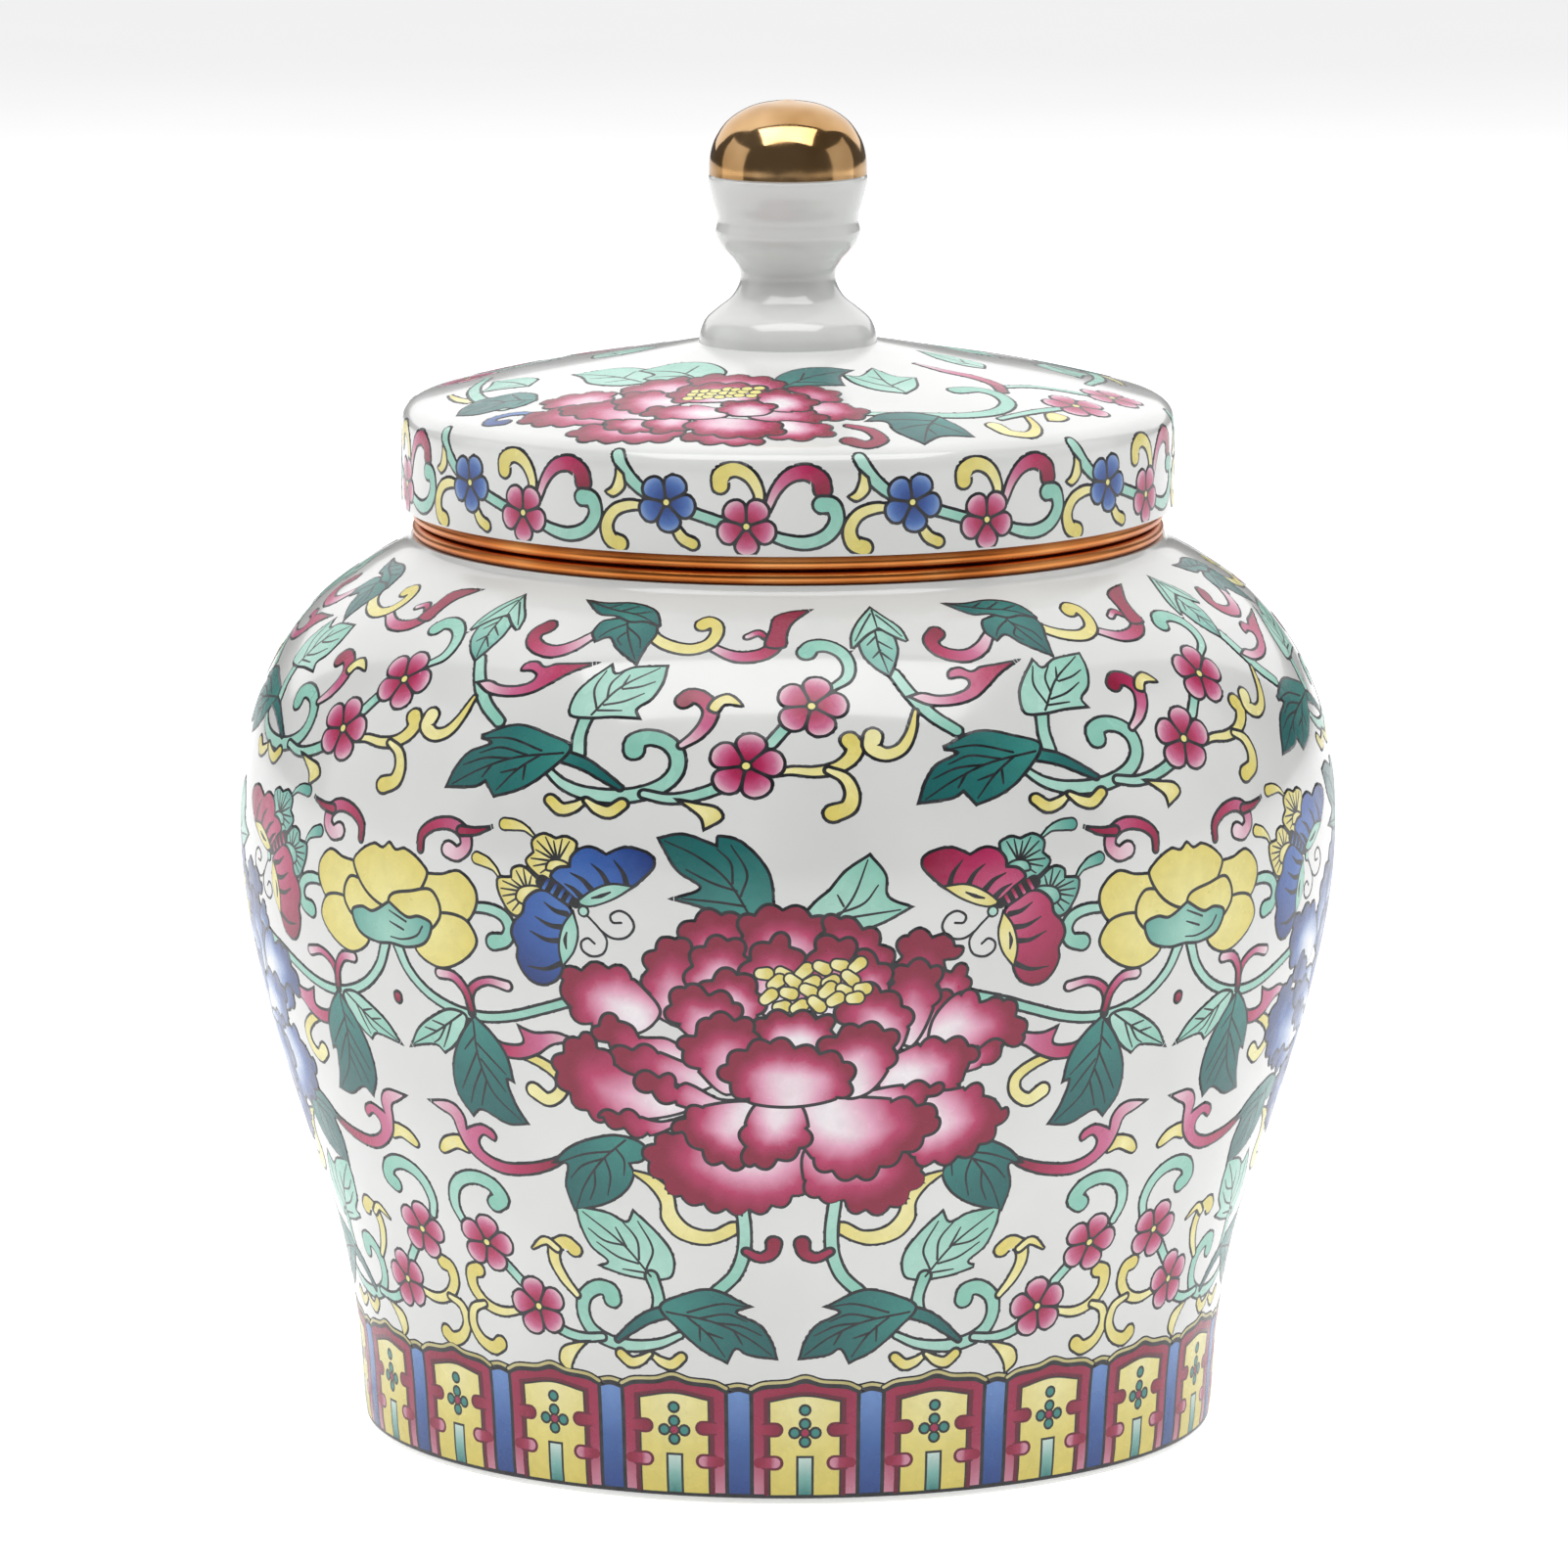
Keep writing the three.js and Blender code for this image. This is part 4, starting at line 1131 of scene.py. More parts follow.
def beside_the_peony(s):
    """Half of what lies between two peonies: stems, leaves and flames, and half of the yellow flower."""
    s.band([(42.8, 93), (41.6, 89.2), (39.2, 85.8), (36, 83.7), (32.5, 83), (29, 83.7), (25, 85.6),
            (21.5, 87.4), (17, 89)], (2.0, 1.7, 1.7, 1.7, 1.7, 1.7, 2.0), "mint")
    s.band([(33.8, 83.4), (33.9, 86), (33.2, 88), (31.4, 89.2), (29.2, 88.7)], (1.2, 1.5, 1.4, 1.8), "pink")
    s.band([(33.8, 84), (34.3, 87), (35.6, 89.2), (37.4, 89.5)], (1.2, 1.6, 1.8), "pink")
    s.band([(43.7, 84.4), (43.7, 84.0)], (1.7, 1.7), "crimson")
    s.band([(27.5, 71.2), (25.9, 69.8), (24.3, 71.4), (24.2, 73.8), (26, 76), (28.6, 77.4)],
           (2.8, 2.3, 2.2, 1.9, 1.4), "yellow")
    s.blob([(34, 81.6, TIP), (33.6, 78.8), (31.6, 77), (28.8, 76.4), (26.4, 77.6), (24.6, 79.4),
            (21.8, 80.4, TIP), (24, 81.6), (26.6, 81.3), (28.4, 82.2, TIP), (28, 79.4), (29.6, 78.8),
            (31.4, 79.4), (32.6, 81.4)], "pink", (33.6, 80))
    leaf = s.blob([(34.6, 82.8), (35.4, 79.6), (37, 77), (38.2, 75.8, TIP), (39.2, 77), (43, 76, TIP),
                   (41.4, 79.4), (39, 82), (36.6, 83.6)], "mint", (35.2, 83))
    s.veins(leaf, [(35.2, 83), (38.6, 79.6), (42.4, 76.6)], [(36.6, 81.6), (37.4, 79), (38.2, 76.8)],
            [(37.6, 80.6), (39.2, 81.2)], [(38.8, 79.4), (40.4, 79.8)], [(37.4, 80.8), (38.6, 78.2),
                                                                         (39.4, 77.4)])
    leaf = s.blob([(33.6, 83, TIP), (31.6, 80.2), (30.2, 76.6), (29.8, 72.2, TIP), (30.6, 72.6), (30, 68.4),
                   (28.8, 65, TIP), (31.4, 64.6), (34.6, 66.6), (35.9, 65.2, TIP), (37.4, 69), (37.4, 73.6),
                   (36.2, 78), (34.8, 81)], "teal", (33.6, 82))
    s.veins(leaf, [(33.8, 82), (33.8, 76), (32.6, 70), (29.6, 65.4)], [(33.8, 77), (35.4, 73), (36.6, 70)],
            [(33.6, 74), (35, 70.4), (35.8, 67.6)], [(33.2, 72), (34, 69), (34.4, 67.4)],
            [(33.8, 78.4), (32, 75.6), (30.6, 73.4)], [(33.5, 75.6), (32, 72.6), (31, 70.4)],
            [(33.8, 79.6), (35.4, 77)])
    # Below the peony: a long flame, a yellow hook and a dark leaf.
    s.blob([(38.2, 61.1), (39.6, 61.2), (41.2, 60.2), (42.1, 58.2), (41.6, 57.4), (40.4, 58), (39.2, 58.7),
            (37.6, 58.3)], "yellow")
    s.blob([(25.4, 59.8, TIP), (28, 58.5), (30.2, 57.8), (32.6, 57.5), (34.4, 58.1), (35.6, 59.3),
            (35.8, 60.8), (35, 62), (34.3, 61.6), (33.7, 61.1), (33.3, 61.9), (33.7, 63.1), (34.9, 63.9),
            (36, 63.6), (37.2, 62.8, TIP), (37.2, 64.8), (37.9, 66.5), (39.2, 67.3), (42, 66.8, TIP),
            (40.4, 65.5), (39, 64.4), (38.6, 62), (37.9, 59.4), (36.4, 57.2), (34.4, 55.7), (32.6, 55.3),
            (29.6, 55.8), (27, 57.1), (25.2, 58.8)], "pink", (26, 58))
    leaf = s.blob([(18.4, 64.4), (21.6, 63.4), (24.4, 61.4), (26.4, 58.6, TIP), (24.8, 58.4), (25.4, 54.6),
                   (24.8, 50.1, TIP), (20.8, 51.8), (18.2, 54.4), (17, 57.6), (17.4, 59.4, TIP),
                   (15.8, 60.2), (15.6, 63)], "teal", (18, 63))
    s.veins(leaf, [(17.6, 63.6), (20.6, 59.6), (23, 55), (24.4, 50.8)], [(19.4, 61.4), (22.4, 60.6),
                                                                         (25.2, 59)],
            [(20.4, 60), (23, 58.4), (24.6, 56)], [(20.2, 60.2), (19.8, 57), (20.4, 53.4)],
            [(21.6, 57.8), (21.8, 55), (22.6, 52.4)], [(18.8, 62), (18, 60), (18.2, 57.2)])
    # The yellow flower.
    s.band([(39.4, 109.2), (39.3, 111.6), (37.8, 113.4), (35.6, 113.9), (34, 112.6), (33.7, 110.6),
            (34.7, 109.3), (35.8, 109.8)], (1.2, 1.7, 1.9, 2.1, 2.2, 2.3, 2.8), "pink")
    s.band([(34.4, 113), (32.6, 113.2), (30.6, 114.2)], (1.6, 1.2, 0.3), "crimson")
    s.band([(33.4, 100.9), (31, 101.1), (29.2, 100.2), (28.5, 98.3), (29, 96.4), (30.4, 95.8)],
           (1.4, 1.8, 2.0, 2.2, 2.9), "mint")
    s.blob([(33.6, 98.6), (32.3, 101.5), (32.5, 104.2), (34.4, 106.6), (36.6, 105.8), (39.3, 105.2),
            (40.2, 103), (38.4, 98.4)], "gold_yellow", (38.6, 99))
    s.blob([(33.8, 99), (32.4, 95.5), (34.2, 92.1), (37.3, 90.4), (40.2, 92.6), (40, 96), (37.6, 99.2)],
           "gold_yellow", (38.6, 97))
    s.blob([(38.4, 105.4), (39.4, 107.4), (41.5, 109), (42.8, 108.6), (43.7, 109.6), (44.6, 108.6),
            (45.9, 109), (48, 107.4), (49, 105.4), (47, 101), (43.7, 99), (40.4, 101)], "gold_yellow",
           (43.7, 100))
    s.blob([(36.9, 98.6), (36.9, 101), (38, 103), (40.4, 102.4), (43.5, 101), (43.5, 97.6), (38.5, 96.4)],
           "gold_yellow", (39, 97))
    calyx = s.blob([(38, 97.4), (38.9, 94.3), (41.4, 93), (43.7, 93.2), (46, 93), (48.5, 94.3),
                    (49.4, 97.4), (47.8, 98.4), (46.2, 98), (43.7, 100, TIP), (41.2, 98), (39.6, 98.4)],
                   "mint_teal", (43.7, 95))
    s.veins(calyx, [(39.2, 96.8), (40, 95.2), (42, 94.2), (43.7, 94.3)], [(41.4, 97.2), (43.7, 98.6)],
            [(41.8, 95.8), (43.7, 96.8)])


def main_belt():
    """Peonies with butterflies over them, and between them yellow flowers. x is in degrees."""
    s = Sheet(1.53, 90, -45)
    s.stretch = 45 / 43.7
    for side in (1, -1):
        s.side = side
        beside_the_peony(s)
    s.side = 1
    leaf = s.blob([(1, 100.6), (2.4, 104.2), (4, 106.4, TIP), (5.6, 109.4), (8, 111.9, TIP), (9.6, 108.6),
                   (9.8, 105.2), (12.2, 103.4, TIP), (9, 100.8), (5, 99)], "mint", (4, 100))
    s.veins(leaf, [(3.6, 100), (6.2, 104.8), (7.8, 111)], [(4.8, 102.6), (7.4, 104.2), (8.8, 107)],
            [(4.4, 101.6), (8, 102.4), (11, 103)], [(5.4, 103.8), (4.8, 105.6)])
    leaf = s.blob([(-12.9, 114.2, TIP), (-10.4, 115), (-7, 113.3, TIP), (-6.9, 114.8), (-4.4, 113.8),
                   (-1.7, 108.5), (-2, 101), (-6, 101), (-8, 103.2), (-11.5, 104.7, TIP), (-8.6, 106.6),
                   (-10.9, 109.2)], "teal", (-4, 102))
    s.veins(leaf, [(-3.6, 102), (-6, 108), (-9, 111.6), (-12.2, 113.8)], [(-4.6, 105.4), (-4, 109),
                                                                          (-5.6, 113.4)],
            [(-5.4, 107.4), (-5.6, 110.6), (-7, 112.8)], [(-5, 106.2), (-7.4, 107.4), (-10, 109.4)],
            [(-4.2, 103.8), (-7, 104.4), (-10.4, 104.8)])
    peony(s)
    butterfly(s, "blue_wing", "mint", "yellow")
    s.side = -1
    butterfly(s, "rose_wing", "yellow", "mint_teal")
    blue = {"rose": "blue"}
    lay("main_belt", "jar", s, BODY.by_angle, [(0, {}), (90, blue), (180, {}), (270, blue)])


def lower_belt():
    """Scrolling leaves and small flowers under the peonies. x is in degrees."""
    s = Sheet(1.32, 90, -45)
    s.stretch = 45 / 43.7
    for side in (1, -1):
        s.side = side
        s.blob([(4.6, 49.2), (6.6, 46.6), (9.6, 45.2), (12.8, 46.4), (14.4, 49.6), (14.4, 52.8),
                (15.6, 55.6), (18.2, 58.6, TIP), (14.8, 57.4), (12.8, 54.6), (12.4, 51), (11, 48.6),
                (8.6, 48), (6.4, 49.6)], "yellow")
        s.band([(5.2, 53.4), (4.9, 48), (5.2, 43.5), (6.3, 39.8), (8.6, 36.6)], (2.0, 2.2, 2.2), "mint")
        s.band([(4.8, 44.2), (3.2, 43.1), (1.9, 44), (1.6, 45.8)], (1.4, 2.0, 2.6), "crimson")
        s.band([(13.3, 28.8), (16, 27.2), (19.5, 26.5), (22.5, 27), (24.8, 28.8), (25.7, 31.5),
                (25.2, 34.5), (23.4, 36.3), (21.8, 35.9), (21.6, 34.4)], (1.3, 1.8, 2.2, 2.3, 2.4, 2.6,
                                                                          3.2), "mint")
        s.band([(23.4, 27.6), (26, 27.2), (28.5, 27.8), (31, 29.8)], (1.4, 1.8, 1.9), "mint")
        s.band([(34, 35.8), (35.9, 38.6)], (1.9, 1.9), "mint")
        s.band([(41.2, 45.4), (41.8, 48), (41.3, 51), (39.8, 53.1), (37.5, 53.9), (35.3, 52.9),
                (34.4, 50.6), (35.4, 49.6)], (1.6, 2.2, 2.4, 2.6, 2.8, 3.2), "mint")
        s.band([(26.3, 34.6), (27.8, 37.4), (28.6, 40.4), (28.2, 43), (26.7, 44), (25.7, 42.8)],
               (1.3, 1.9, 2.2, 2.4, 2.8), "yellow")
        s.band([(28, 42.6), (29.4, 43.9), (31.4, 42.2)], (1.4, 1.6, 0.6), "yellow")
        s.band([(34.6, 30.6), (37.8, 29.8), (40.4, 30.8), (42, 33.4), (41.8, 36), (40.6, 36.6)],
               (1.3, 1.8, 2.1, 2.4, 2.8), "yellow")
        s.band([(40.6, 30.6), (42.6, 29.4), (43.1, 26.6), (42, 24.2), (40, 23.2), (38.8, 24.1)],
               (1.2, 1.9, 2.1, 2.4, 2.8), "yellow")
        s.blob([(25.4, 26.6, TIP), (27.2, 26.2), (29.3, 25), (29.8, 22.6), (28.2, 20.5, TIP), (27.9, 22.4),
                (27, 24.4)], "yellow")
        moustache(s, 17.2, 24.9)
        leaf = s.blob([(15.8, 38.4), (13.8, 39.2), (13.4, 43), (15, 47), (17.6, 51, TIP), (18.6, 48.8),
                       (20.6, 50.2), (24.6, 51, TIP), (24.4, 47.4), (23.4, 43.6), (21.6, 41.2),
                       (22.8, 40.2, TIP), (19.4, 38.8)], "mint", (16.8, 40))
        s.band([(15.9, 32.6), (15.7, 35.4), (16.3, 39)], (2.2, 2.0, 2.2), "mint")
        s.veins(leaf, [(16.4, 39), (19.4, 44.6), (23.8, 50)], [(16.8, 40.4), (15.8, 44), (17.2, 49)],
                [(17.6, 42), (17.6, 45.6), (19.2, 49)], [(19, 44.2), (20, 47.6)],
                [(17.8, 41.2), (20.2, 42.2), (22.6, 44.6)], [(19.4, 44.4), (21.6, 45), (23.4, 47)],
                [(17, 39.6), (19.8, 40)])
        s.band([(11.6, 33.4), (14.6, 32.8), (17.2, 31.6), (19.2, 29.8), (21.4, 27.4)],
               (1.6, 2.2, 2.2, 1.8, 1.0), "teal")
        leaf = s.blob([(15.6, 33.6), (12.8, 36), (9, 37.1), (4.4, 34.2, TIP), (6.2, 33.2), (3.4, 31),
                       (2, 28.2), (1.3, 25.1, TIP), (5, 25.8), (6.4, 26.8), (7.5, 24.3, TIP), (10.6, 26.4),
                       (13.4, 29.8)], "teal", (15, 33))
        s.veins(leaf, [(14.8, 32.8), (9.2, 31.4), (5, 28.8), (2, 25.8)], [(12.2, 32.9), (8, 34.6),
                                                                          (5, 34.2)],
                [(10.6, 32), (7.4, 32.8), (5, 31.6)], [(8.6, 31.2), (5.8, 30.8), (3.2, 29.2)],
                [(12.2, 32), (9.8, 29.2), (7.8, 25.4)], [(9.8, 29.4), (8, 28.6)],
                [(10.8, 30.6), (10.8, 28)], [(6.6, 30), (5.6, 27.6)])
        flower(s, 32, 31.7, 5.2, 100 if side > 0 else 80)
        flower(s, 38.2, 42, 5.2, 75 if side > 0 else 105)
    lay("lower_belt", "jar", s, BODY.by_angle, [(90 * k, {}) for k in range(4)], 0.6 * ENAMEL_RELIEF)


def foot_border():
    """Twenty-one arched panels between blue posts, round the foot."""
    period = 360 / 21
    half = period / 2
    post_half, frame_half, inner_half, field_half = 1.6, 6.9, 5.35, 4.6
    bottom = 2.2
    s = Sheet(1.23, period, -half)
    s.ribbon(1.7, 2.4, "black", 0)
    for side in (1, -1):
        s.side = side
        s.blob([(half - post_half, bottom, TIP), (half + post_half, bottom, TIP),
                (half + post_half, 19.3, TIP), (half, 19.8), (half - post_half, 19.3, TIP)], "post",
               (half, 19))
        s.band([(half - 1.9, 20.1), (half, 20.6), (half + 1.9, 20.1)], (0.8, 0.8, 0.8), "olive", 0.3)
    s.side = 1
    s.blob([(-frame_half, bottom, TIP), (frame_half, bottom, TIP), (frame_half, 19.4, TIP), (5.4, 20.2),
            (2.2, 20.6), (0, 21.3), (-2.2, 20.6), (-5.4, 20.2), (-frame_half, 19.4, TIP)], "frame", (0, 20))
    s.band([(-frame_half - 0.1, 20), (-5.5, 20.9), (-2.2, 21.3), (0, 22.1), (2.2, 21.3), (5.5, 20.9),
            (frame_half + 0.1, 20)], (0.8, 0.8, 0.8), "olive", 0.3)
    s.blob([(-inner_half, bottom, TIP), (inner_half, bottom, TIP), (inner_half, 18.5, TIP), (0, 19.6),
            (-inner_half, 18.5, TIP)], "maroon", (0, 20), 0)
    s.blob([(-field_half, bottom, TIP), (field_half, bottom, TIP), (field_half, 17.9, TIP), (0, 18.9),
            (-field_half, 17.9, TIP)], "field", (0, 18), 0.3)
    for side in (1, -1):
        s.side = side
        for y, paint in ((13.2, "crimson"), (7.7, "frame")):
            s.band([(5, y), (3.8, y)], (2.5, 2.5), "maroon", 0)
            s.band([(6, y), (3.9, y)], (1.7, 1.7), paint, 0)
        s.dot(1.35, 12.7, 0.85, "teal", 0.4)
    s.side = 1
    for y in (11.2, 14.2, 16.5):
        s.dot(0, y, 0.85, "teal", 0.4)
    s.dot(0, 12.7, 0.75, "crimson", 0.3)
    s.blob([(-1, bottom, TIP), (1, bottom, TIP), (1, 8.7, TIP), (-1, 8.7, TIP)], "bar", (0, bottom), 0.4)
    lay("foot_border", "jar", s, BODY.by_angle, [(2.2 + period * k, {}) for k in range(21)])


def lid_border():
    """Blue and crimson flowers linked by curls, round the lid's rim. x is in degrees, y is height."""
    s = Sheet(RIM_R * math.pi / 180, 36, 6.6)
    s.band([(10.4, 168), (11.6, 165.6), (13.6, 163.2), (16, 161.4)], (2.2, 2.2, 1.9), "mint")
    s.band([(20, 159.8), (27, 157.4)], (1.9, 1.9), "mint")
    s.blob([(11.6, 164.8, TIP), (11.8, 162.6), (10, 161), (8.6, 161.8), (9.6, 162.6), (10.2, 164.2),
            (10.4, 166, TIP)], "yellow")
    s.band([(15.4, 159.7), (12.8, 159.9), (10.2, 158.9), (8.9, 156.6), (9.4, 154.4), (11, 153.6)],
           (1.3, 1.9, 2.1, 2.4, 2.9), "yellow")
    s.band([(19.3, 157.2), (20.6, 155), (22.2, 154.1)], (1.4, 2.0, 2.1), "yellow")
    s.band([(31.6, 159.6), (31.8, 162.4), (30.4, 165.2), (28.2, 166.2), (26.2, 165.2), (26.2, 163.6)],
           (1.3, 1.9, 2.3, 2.6, 2.9), "yellow")
    s.band([(41, 163), (40.6, 164.6), (38.6, 165.8), (36.2, 165.2), (34.3, 163), (33, 159.8)],
           (3.0, 2.8, 2.4, 1.8, 1.3), "pink")
    s.band([(32.6, 156.2), (35.4, 155), (38.6, 154.5), (41.5, 155.6), (43, 158), (42.4, 160.4),
            (40.8, 160.6)], (1.4, 2.0, 2.3, 2.4, 2.5, 2.9), "mint")
    flower(s, 18.2, 160.6, 4.8, 62, "blue_petal")
    flower(s, 30, 157.1, 4.8, 55, "pink")
    lay("lid_border", "lid", s, on_rim, [(36 * k, {}) for k in range(10)])


def lid_top():
    """Half of the lid's top, seen in plan: x to the right, y towards the front. The other half is turned."""
    s = Sheet()
    s.band([(12.4, 44.6), (20, 43.4), (28, 41), (33.4, 36.6), (35.3, 31), (33.6, 26.4), (30.4, 25.2),
            (27.2, 27.4)], (1.6, 2.2, 2.5, 2.6, 2.8, 3.4), "mint")
    s.band([(34, 40), (40, 32.6), (46, 26)], (1.4, 1.8, 1.8), "mint")
    s.band([(34.4, 20.8), (40, 16.4), (48, 14.4)], (1.4, 1.8, 1.8), "mint")
    s.band([(33, 44), (35.2, 46.2), (38.6, 45.4), (39.6, 41.4), (38.4, 37)], (3.2, 2.8, 2.4, 1.8, 1.2),
           "yellow")
    s.band([(34.6, 24), (33.4, 19.6), (30, 16.6), (25.6, 15.6), (20.6, 13.6)], (2.0, 2.6, 2.8, 2.2, 0.8),
           "pink")
    s.blob([(41.6, 37, TIP), (44, 35.6), (45, 32.6), (42.6, 31.6), (41.2, 33.4)], "yellow")
    s.band([(9.6, 50.4), (13, 52), (14.6, 55.6), (12.4, 58), (9.8, 56.8)], (1.6, 2.4, 2.8, 3.2), "crimson")
    s.band([(-40.2, 33.8), (-43.8, 31.4), (-47.2, 31.6), (-47.8, 34), (-45.6, 35)],
           (1.0, 1.7, 2.0, 2.2, 2.6), "post")
    s.band([(-51.4, 16.4), (-53, 13.6), (-54.2, 10), (-55, 6)], (2.2, 1.8, 1.4, 0.8), "yellow")
    s.band([(-45.6, 27), (-50, 16), (-51, 6), (-49, -4)], (2.0, 2.4, 2.2, 1.4), "mint")
    for outline, colours, base, veins in LID_LEAVES:
        leaf = s.blob(outline, colours, base)
        s.veins(leaf, *veins)
    flower(s, 46.4, 24.6, 5.6, 20)
    flower(s, 52.6, 12, 5.2, 50)
    lid_peony(s)
    lay("lid_top", "lid", s, on_lid_top, [(0, {}), (180, {})])


LID_LEAVES = [
    ([(24, 43, TIP), (19.6, 42.4), (14.6, 44.6), (12.4, 48, TIP), (15.6, 47.8), (17, 51.6), (21.6, 56, TIP),
      (24.4, 52), (29.6, 50.4, TIP), (27.4, 46.6)], "teal", (24, 43.6),
     [[(24, 43.4), (22.4, 48), (21.6, 55)], [(23.4, 45.4), (19, 46), (14, 47.4)],
      [(23, 47), (19.8, 48.8), (17.6, 50.8)], [(23, 46.4), (25.6, 48), (28.6, 50)],
      [(22.4, 49.4), (23.6, 51.6)]]),
    ([(19, 32.6, TIP), (14.4, 32), (10.6, 29), (8.6, 24.8, TIP), (11.4, 25.2), (13.6, 20, TIP),
      (17.4, 23.2), (20.6, 22.6, TIP), (20.8, 28)], "mint", (19, 32),
     [[(18.8, 32), (15.8, 27.4), (13.8, 21)], [(17.6, 30), (13.6, 28.4), (9.8, 25.6)],
      [(16.8, 28.6), (18.6, 25.6), (20, 23.4)], [(15.4, 26.4), (13, 25)]]),
    ([(32, 8, TIP), (28.4, 8.6), (24, 6.4), (21, 2, TIP), (26, 1.4), (31.6, 3.4)], "mint", (32, 7),
     [[(31.6, 7), (26.6, 5), (22, 2.4)], [(29.6, 6.2), (27.4, 7.6)], [(28.6, 5.6), (28, 3)]]),
    ([(-40.4, 25.4, TIP), (-40.8, 21), (-43.4, 17.4, TIP), (-45.6, 17), (-50, 17.4), (-52.6, 20.4),
      (-53.4, 24.6, TIP), (-50, 27), (-45.6, 26.6, TIP), (-44.2, 28, TIP), (-42, 27)], "teal", (-41, 24.6),
     [[(-41, 24.8), (-46, 22.4), (-52.4, 23.6)], [(-43, 23.8), (-44, 20.6), (-44.6, 18.2)],
      [(-45.6, 22.6), (-47.4, 20), (-49.6, 18.6)], [(-45.4, 22.6), (-47.6, 24.6), (-49.6, 26)],
      [(-42.4, 24.4), (-43.6, 26)]]),
    ([(-42, 14, TIP), (-40.6, 9), (-43.2, 4.6), (-48, 2.2, TIP), (-48.6, 7.2), (-50, 10.6, TIP), (-46, 12)],
     "mint", (-42, 13), [[(-42.4, 13), (-44.6, 8), (-47.6, 3)], [(-43, 11.4), (-46.4, 10.4), (-49, 10.4)]]),
    ([(-23, 25, TIP), (-27.4, 24.4), (-32, 20.2), (-33.4, 14.4), (-35, 10.6, TIP), (-28.6, 11), (-24, 14.6),
      (-21.6, 20)], "mint", (-24, 24),
     [[(-23.6, 24), (-28.4, 17.4), (-34.2, 11.4)], [(-25.4, 21.4), (-29.6, 21)],
      [(-27.4, 18.6), (-32, 16.6)], [(-26.6, 19.8), (-24.6, 16.4)]]),
    ([(-14, 27, TIP), (-19, 25.6), (-23.2, 22.4), (-21.6, 20.6), (-24, 16.6, TIP), (-18, 15), (-12.4, 18),
      (-10, 24)], "mint", (-14, 26), [[(-14.4, 26), (-17.6, 21), (-22.8, 17.4)], [(-16, 23.6), (-21.6, 22)],
                                      [(-16.6, 22.4), (-14.4, 18.6)]]),
    ([(-1, 33, TIP), (-2, 28), (1, 23.4), (6, 21.6), (10.4, 22.2, TIP), (8.4, 26), (9, 30.6, TIP),
      (4, 31.4)], "teal", (-0.6, 32), [[(-0.6, 32), (3.6, 27), (9.6, 22.8)],
                                       [(1.2, 29.8), (5, 29.6), (8.4, 30)], [(2, 28.6), (2.6, 25)]]),
]


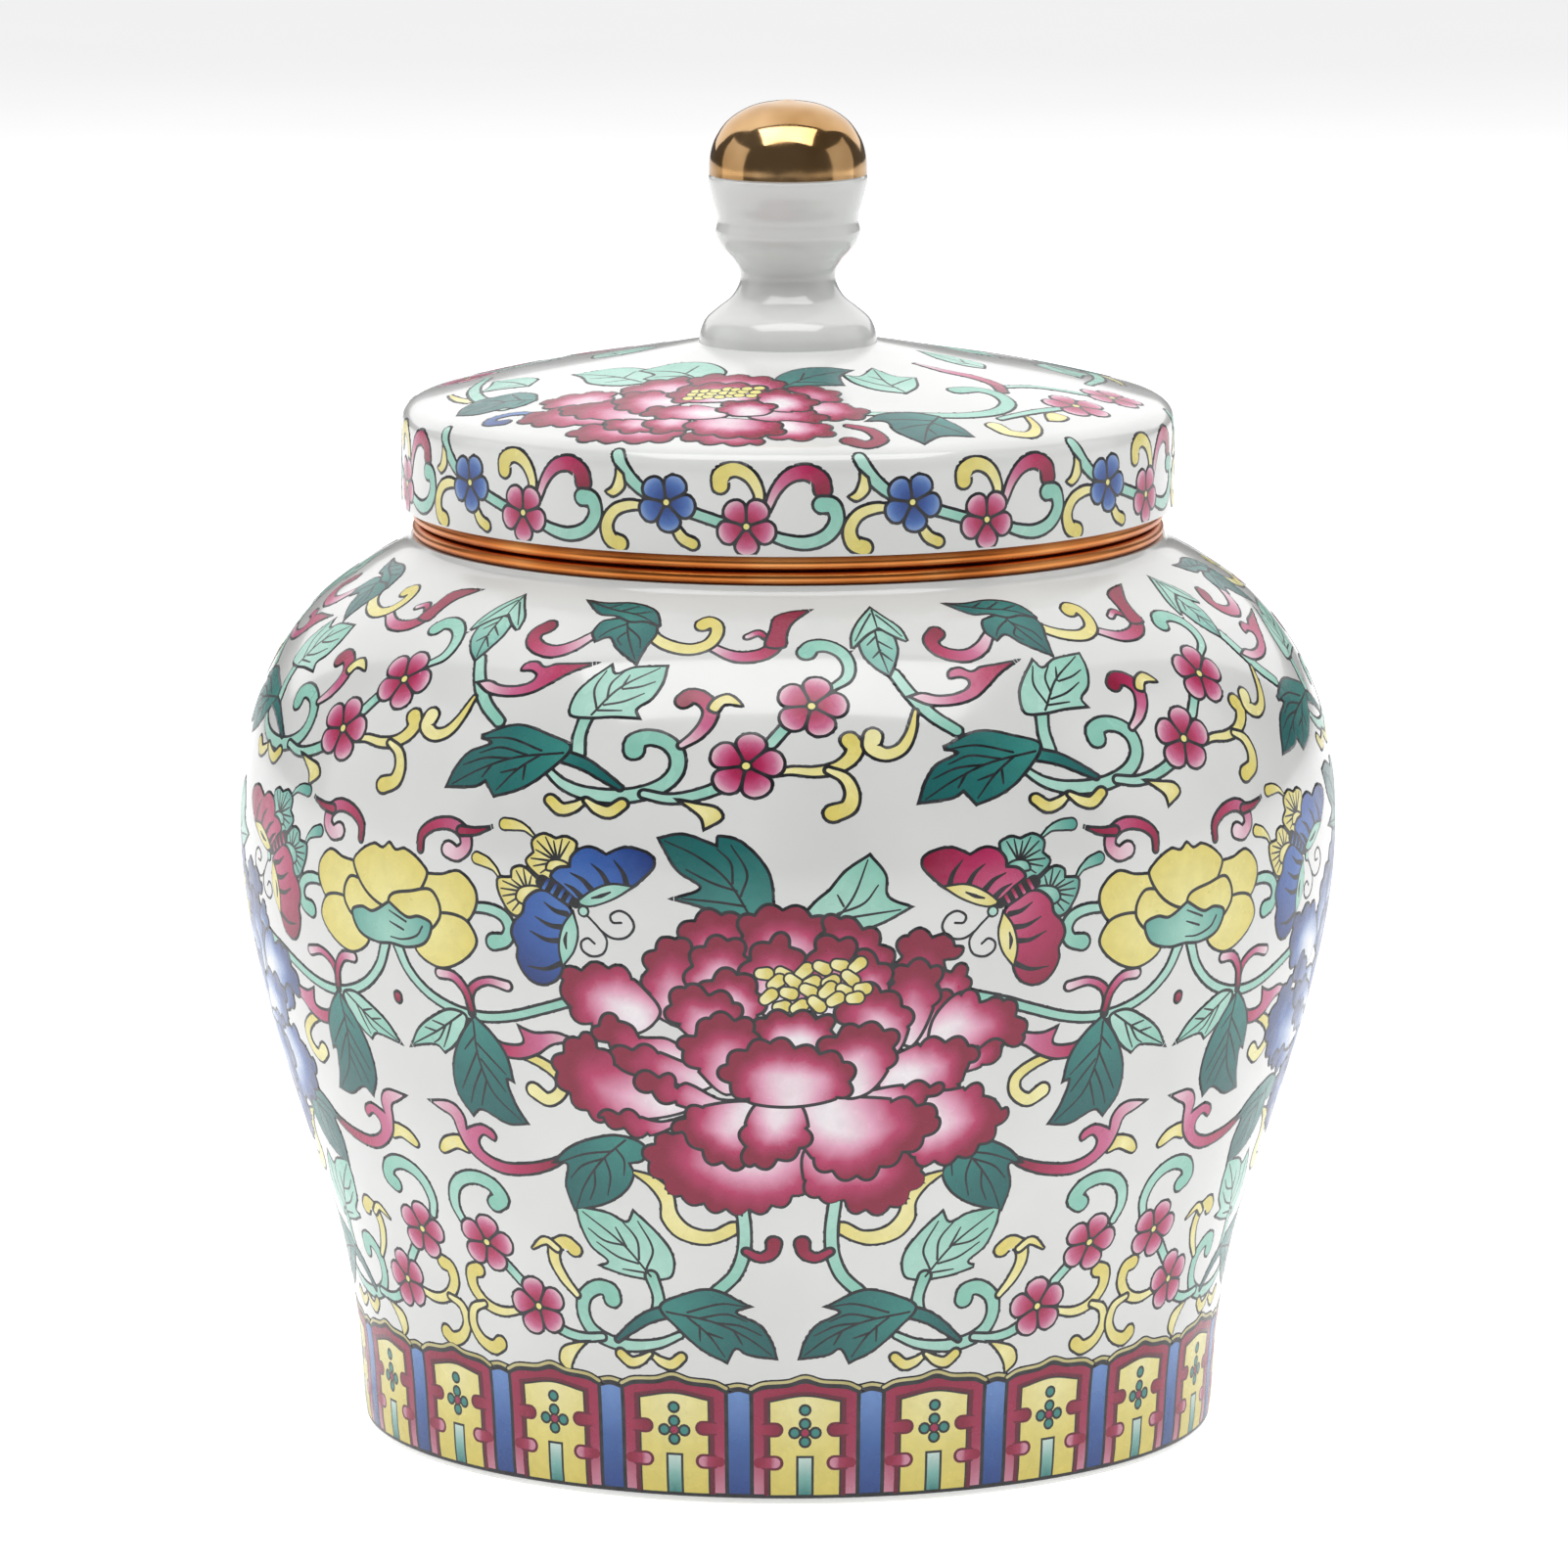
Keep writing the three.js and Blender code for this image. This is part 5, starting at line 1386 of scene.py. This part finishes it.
# The lid's peony, in the same way as the one on the jar. Its petals open towards the rim.
LID_PEONY = [
    ((-19, 34), [(-27, 29), (-25.6, 26.4), (-21.6, 24.4), (-16.8, 24.6), (-15, 26.6), (-14.6, 30),
                 (-17, 33), (-22, 32)]),
    ((-9, 36), [(-15.6, 30), (-15.2, 25.6), (-12.6, 24.4), (-8, 25.6), (-3.6, 27.2), (-1.4, 29.4),
                (-0.4, 33), (-2, 36), (-8, 34), (-13, 32)]),
    ((-32, 34.6), [(-39, 30.6), (-39.4, 28.2), (-37.4, 26.4), (-33.4, 26), (-29, 27.4), (-28, 29.6),
                   (-28.4, 33), (-33, 33.6), (-37, 32.8)]),
    ((-26, 38), [(-43, 35.4), (-41.4, 33.6), (-38, 33), (-33, 34), (-28, 37), (-26, 42), (-30, 44.6),
                 (-34, 43.2), (-38, 41.6), (-41.2, 39)]),
    ((-22, 44), [(-36.6, 34.4), (-34.4, 32.6), (-31.6, 33.6), (-29, 32.8), (-27.4, 35), (-25, 39),
                 (-21, 45), (-26, 44.8), (-31, 41.6), (-34.8, 38)]),
    ((1, 40), [(0.4, 33.4), (1.8, 31.6), (4.4, 32.2), (6.6, 33.2), (8.2, 35.8), (8, 38.4), (5.4, 40),
               (3, 38)]),
    ((2, 42), [(4, 41), (7.6, 39.6), (9.8, 41.4), (11.6, 42), (12.6, 44.6), (11.6, 46.6), (9, 48),
               (6, 47.6), (2.6, 44.6)]),
    ((-5, 44), [(-6, 44.6), (0, 43.6), (4, 44.6), (6, 47.6), (4.6, 50), (2, 51), (-2, 49.6), (-6, 47.4)]),
    ((-8, 52), [(-17, 53), (-13, 53.6), (-8, 55.4), (-4.4, 56.4), (-5, 58.6), (-12, 57.6), (-15.6, 55.8)]),
    ((-1, 50), [(-1, 49), (3, 49.6), (6.4, 51), (7.2, 54), (4, 56.2), (0.6, 57), (-3, 55.4), (-3.6, 52)]),
    ((-22, 45), [(-34.7, 46.4), (-32.4, 44.6), (-29, 45), (-24, 46), (-17.4, 47.4), (-16.9, 49.6),
                 (-17.6, 53.9), (-21.1, 55.2), (-29.7, 52.4), (-33.3, 50)]),
    ((-22, 44.6), [(-29.4, 44.6), (-27, 43.6), (-24, 44.4), (-22, 46), (-21, 49.4), (-23.4, 50.6),
                   (-27, 48.8)]),
    ((-17, 44.6), [(-22.4, 46), (-20, 44.6), (-16.4, 46), (-15.4, 49.6), (-18, 51.6), (-21.4, 50.8)]),
    ((-9, 46.4), [(-15.6, 48), (-14, 46.6), (-8, 47.4), (-2, 50), (-0.6, 53), (-2.4, 55), (-7.4, 55.8),
                  (-13, 53.8), (-15.8, 51)]),
    ((-17, 38), [(-27.6, 34), (-25, 30), (-21, 31), (-18, 33.6), (-16, 37), (-19, 40.4), (-23, 41.6),
                 (-26.6, 38.6)]),
    ((-10, 38), [(-18.8, 34.6), (-18, 31.4), (-15.6, 29.6), (-10.6, 29.2), (-5, 31.4), (-3, 34.6),
                 (-3.4, 37.6), (-7, 39), (-13, 39), (-17.6, 37.6)]),
    ((-3, 42), [(-4.6, 36), (-2, 33.6), (2.6, 36.8), (4.4, 39.4), (3.6, 43), (0, 45), (-4, 43)]),
    ((-12, 45), [(-23, 41), (-21, 39.4), (-17, 40.2), (-15, 39.6), (-12, 41.6), (-9.4, 43.4), (-10, 46.4),
                 (-14, 47), (-19, 45.4), (-22.6, 43)]),
    ((-6, 46), [(-11, 42), (-9, 39.2), (-3.6, 40.4), (-2.2, 43), (-3.4, 46), (-6, 46.6), (-9, 46)]),
]


def lid_peony(s):
    for base, outline in LID_PEONY:
        petal(s, base, outline)
    for k in range(21):
        x = -16 + 0.56 * k + 0.2 * math.sin(7 * k)
        s.dot(x, 34.5 + (1.7, 0, -1.7)[k % 3] + 0.3 * math.sin(5 * k), 1.05, "eye", 0.3)


garland()
main_belt()
lower_belt()
foot_border()
lid_border()
lid_top()


# ---------------------------------------------------------------- camera, light and floor


def studio():
    scene = bpy.context.scene
    camera_data = bpy.data.cameras.new("camera")
    camera_data.sensor_width = 36.0
    camera_data.lens = 269.4
    camera_data.clip_end = 20
    camera = bpy.data.objects.new("camera", camera_data)
    camera.location = (-0.00065, -1.9, 0.42)
    camera.rotation_euler = (math.radians(80.6), 0, 0)
    scene.collection.objects.link(camera)
    scene.camera = camera

    floor_material, tree, shader = new_material("paper_sweep", 0.9)
    shader.inputs["Emission Color"].default_value = (1, 1, 1, 1)
    shader.inputs["Emission Strength"].default_value = 0.78
    grain = ramp(tree, noise(tree, 12), [(0.3, (0.56, 0.56, 0.56)), (0.7, (0.6, 0.6, 0.6))])
    tree.links.new(grain, shader.inputs["Base Color"])
    half = 3.0
    floor = add_mesh("floor", [(-half, -half, 0), (half, -half, 0), (half, half, 0), (-half, half, 0)],
                     [(0, 1, 2, 3)])
    floor.data.materials.append(floor_material)

    def area(name, place_at, target, size, power):
        data = bpy.data.lights.new(name, "AREA")
        data.shape = "RECTANGLE"
        data.size, data.size_y = size
        data.energy = power
        light = bpy.data.objects.new(name, data)
        light.location = place_at
        light.rotation_euler = (Vector(target) - Vector(place_at)).to_track_quat("-Z", "Y").to_euler()
        scene.collection.objects.link(light)

    area("overhead_box", (0, -0.35, 1.25), (0, 0, 0.1), (1.4, 0.7), 12)
    area("back_box", (0, 1.0, 1.2), (0, 0, 0.2), (3.0, 2.3), 24)
    area("left_box", (-1.7, 0, 0.5), (0, 0, 0.1), (1.4, 1.4), 4.5)
    area("right_box", (1.7, 0, 0.5), (0, 0, 0.1), (1.4, 1.4), 3.5)

    world = bpy.data.worlds.new("studio")
    scene.world = world
    world.use_nodes = True
    world.node_tree.nodes["Background"].inputs["Color"].default_value = (1, 1, 1, 1)
    world.node_tree.nodes["Background"].inputs["Strength"].default_value = 0.12
    scene.view_settings.view_transform = "Standard"


studio()
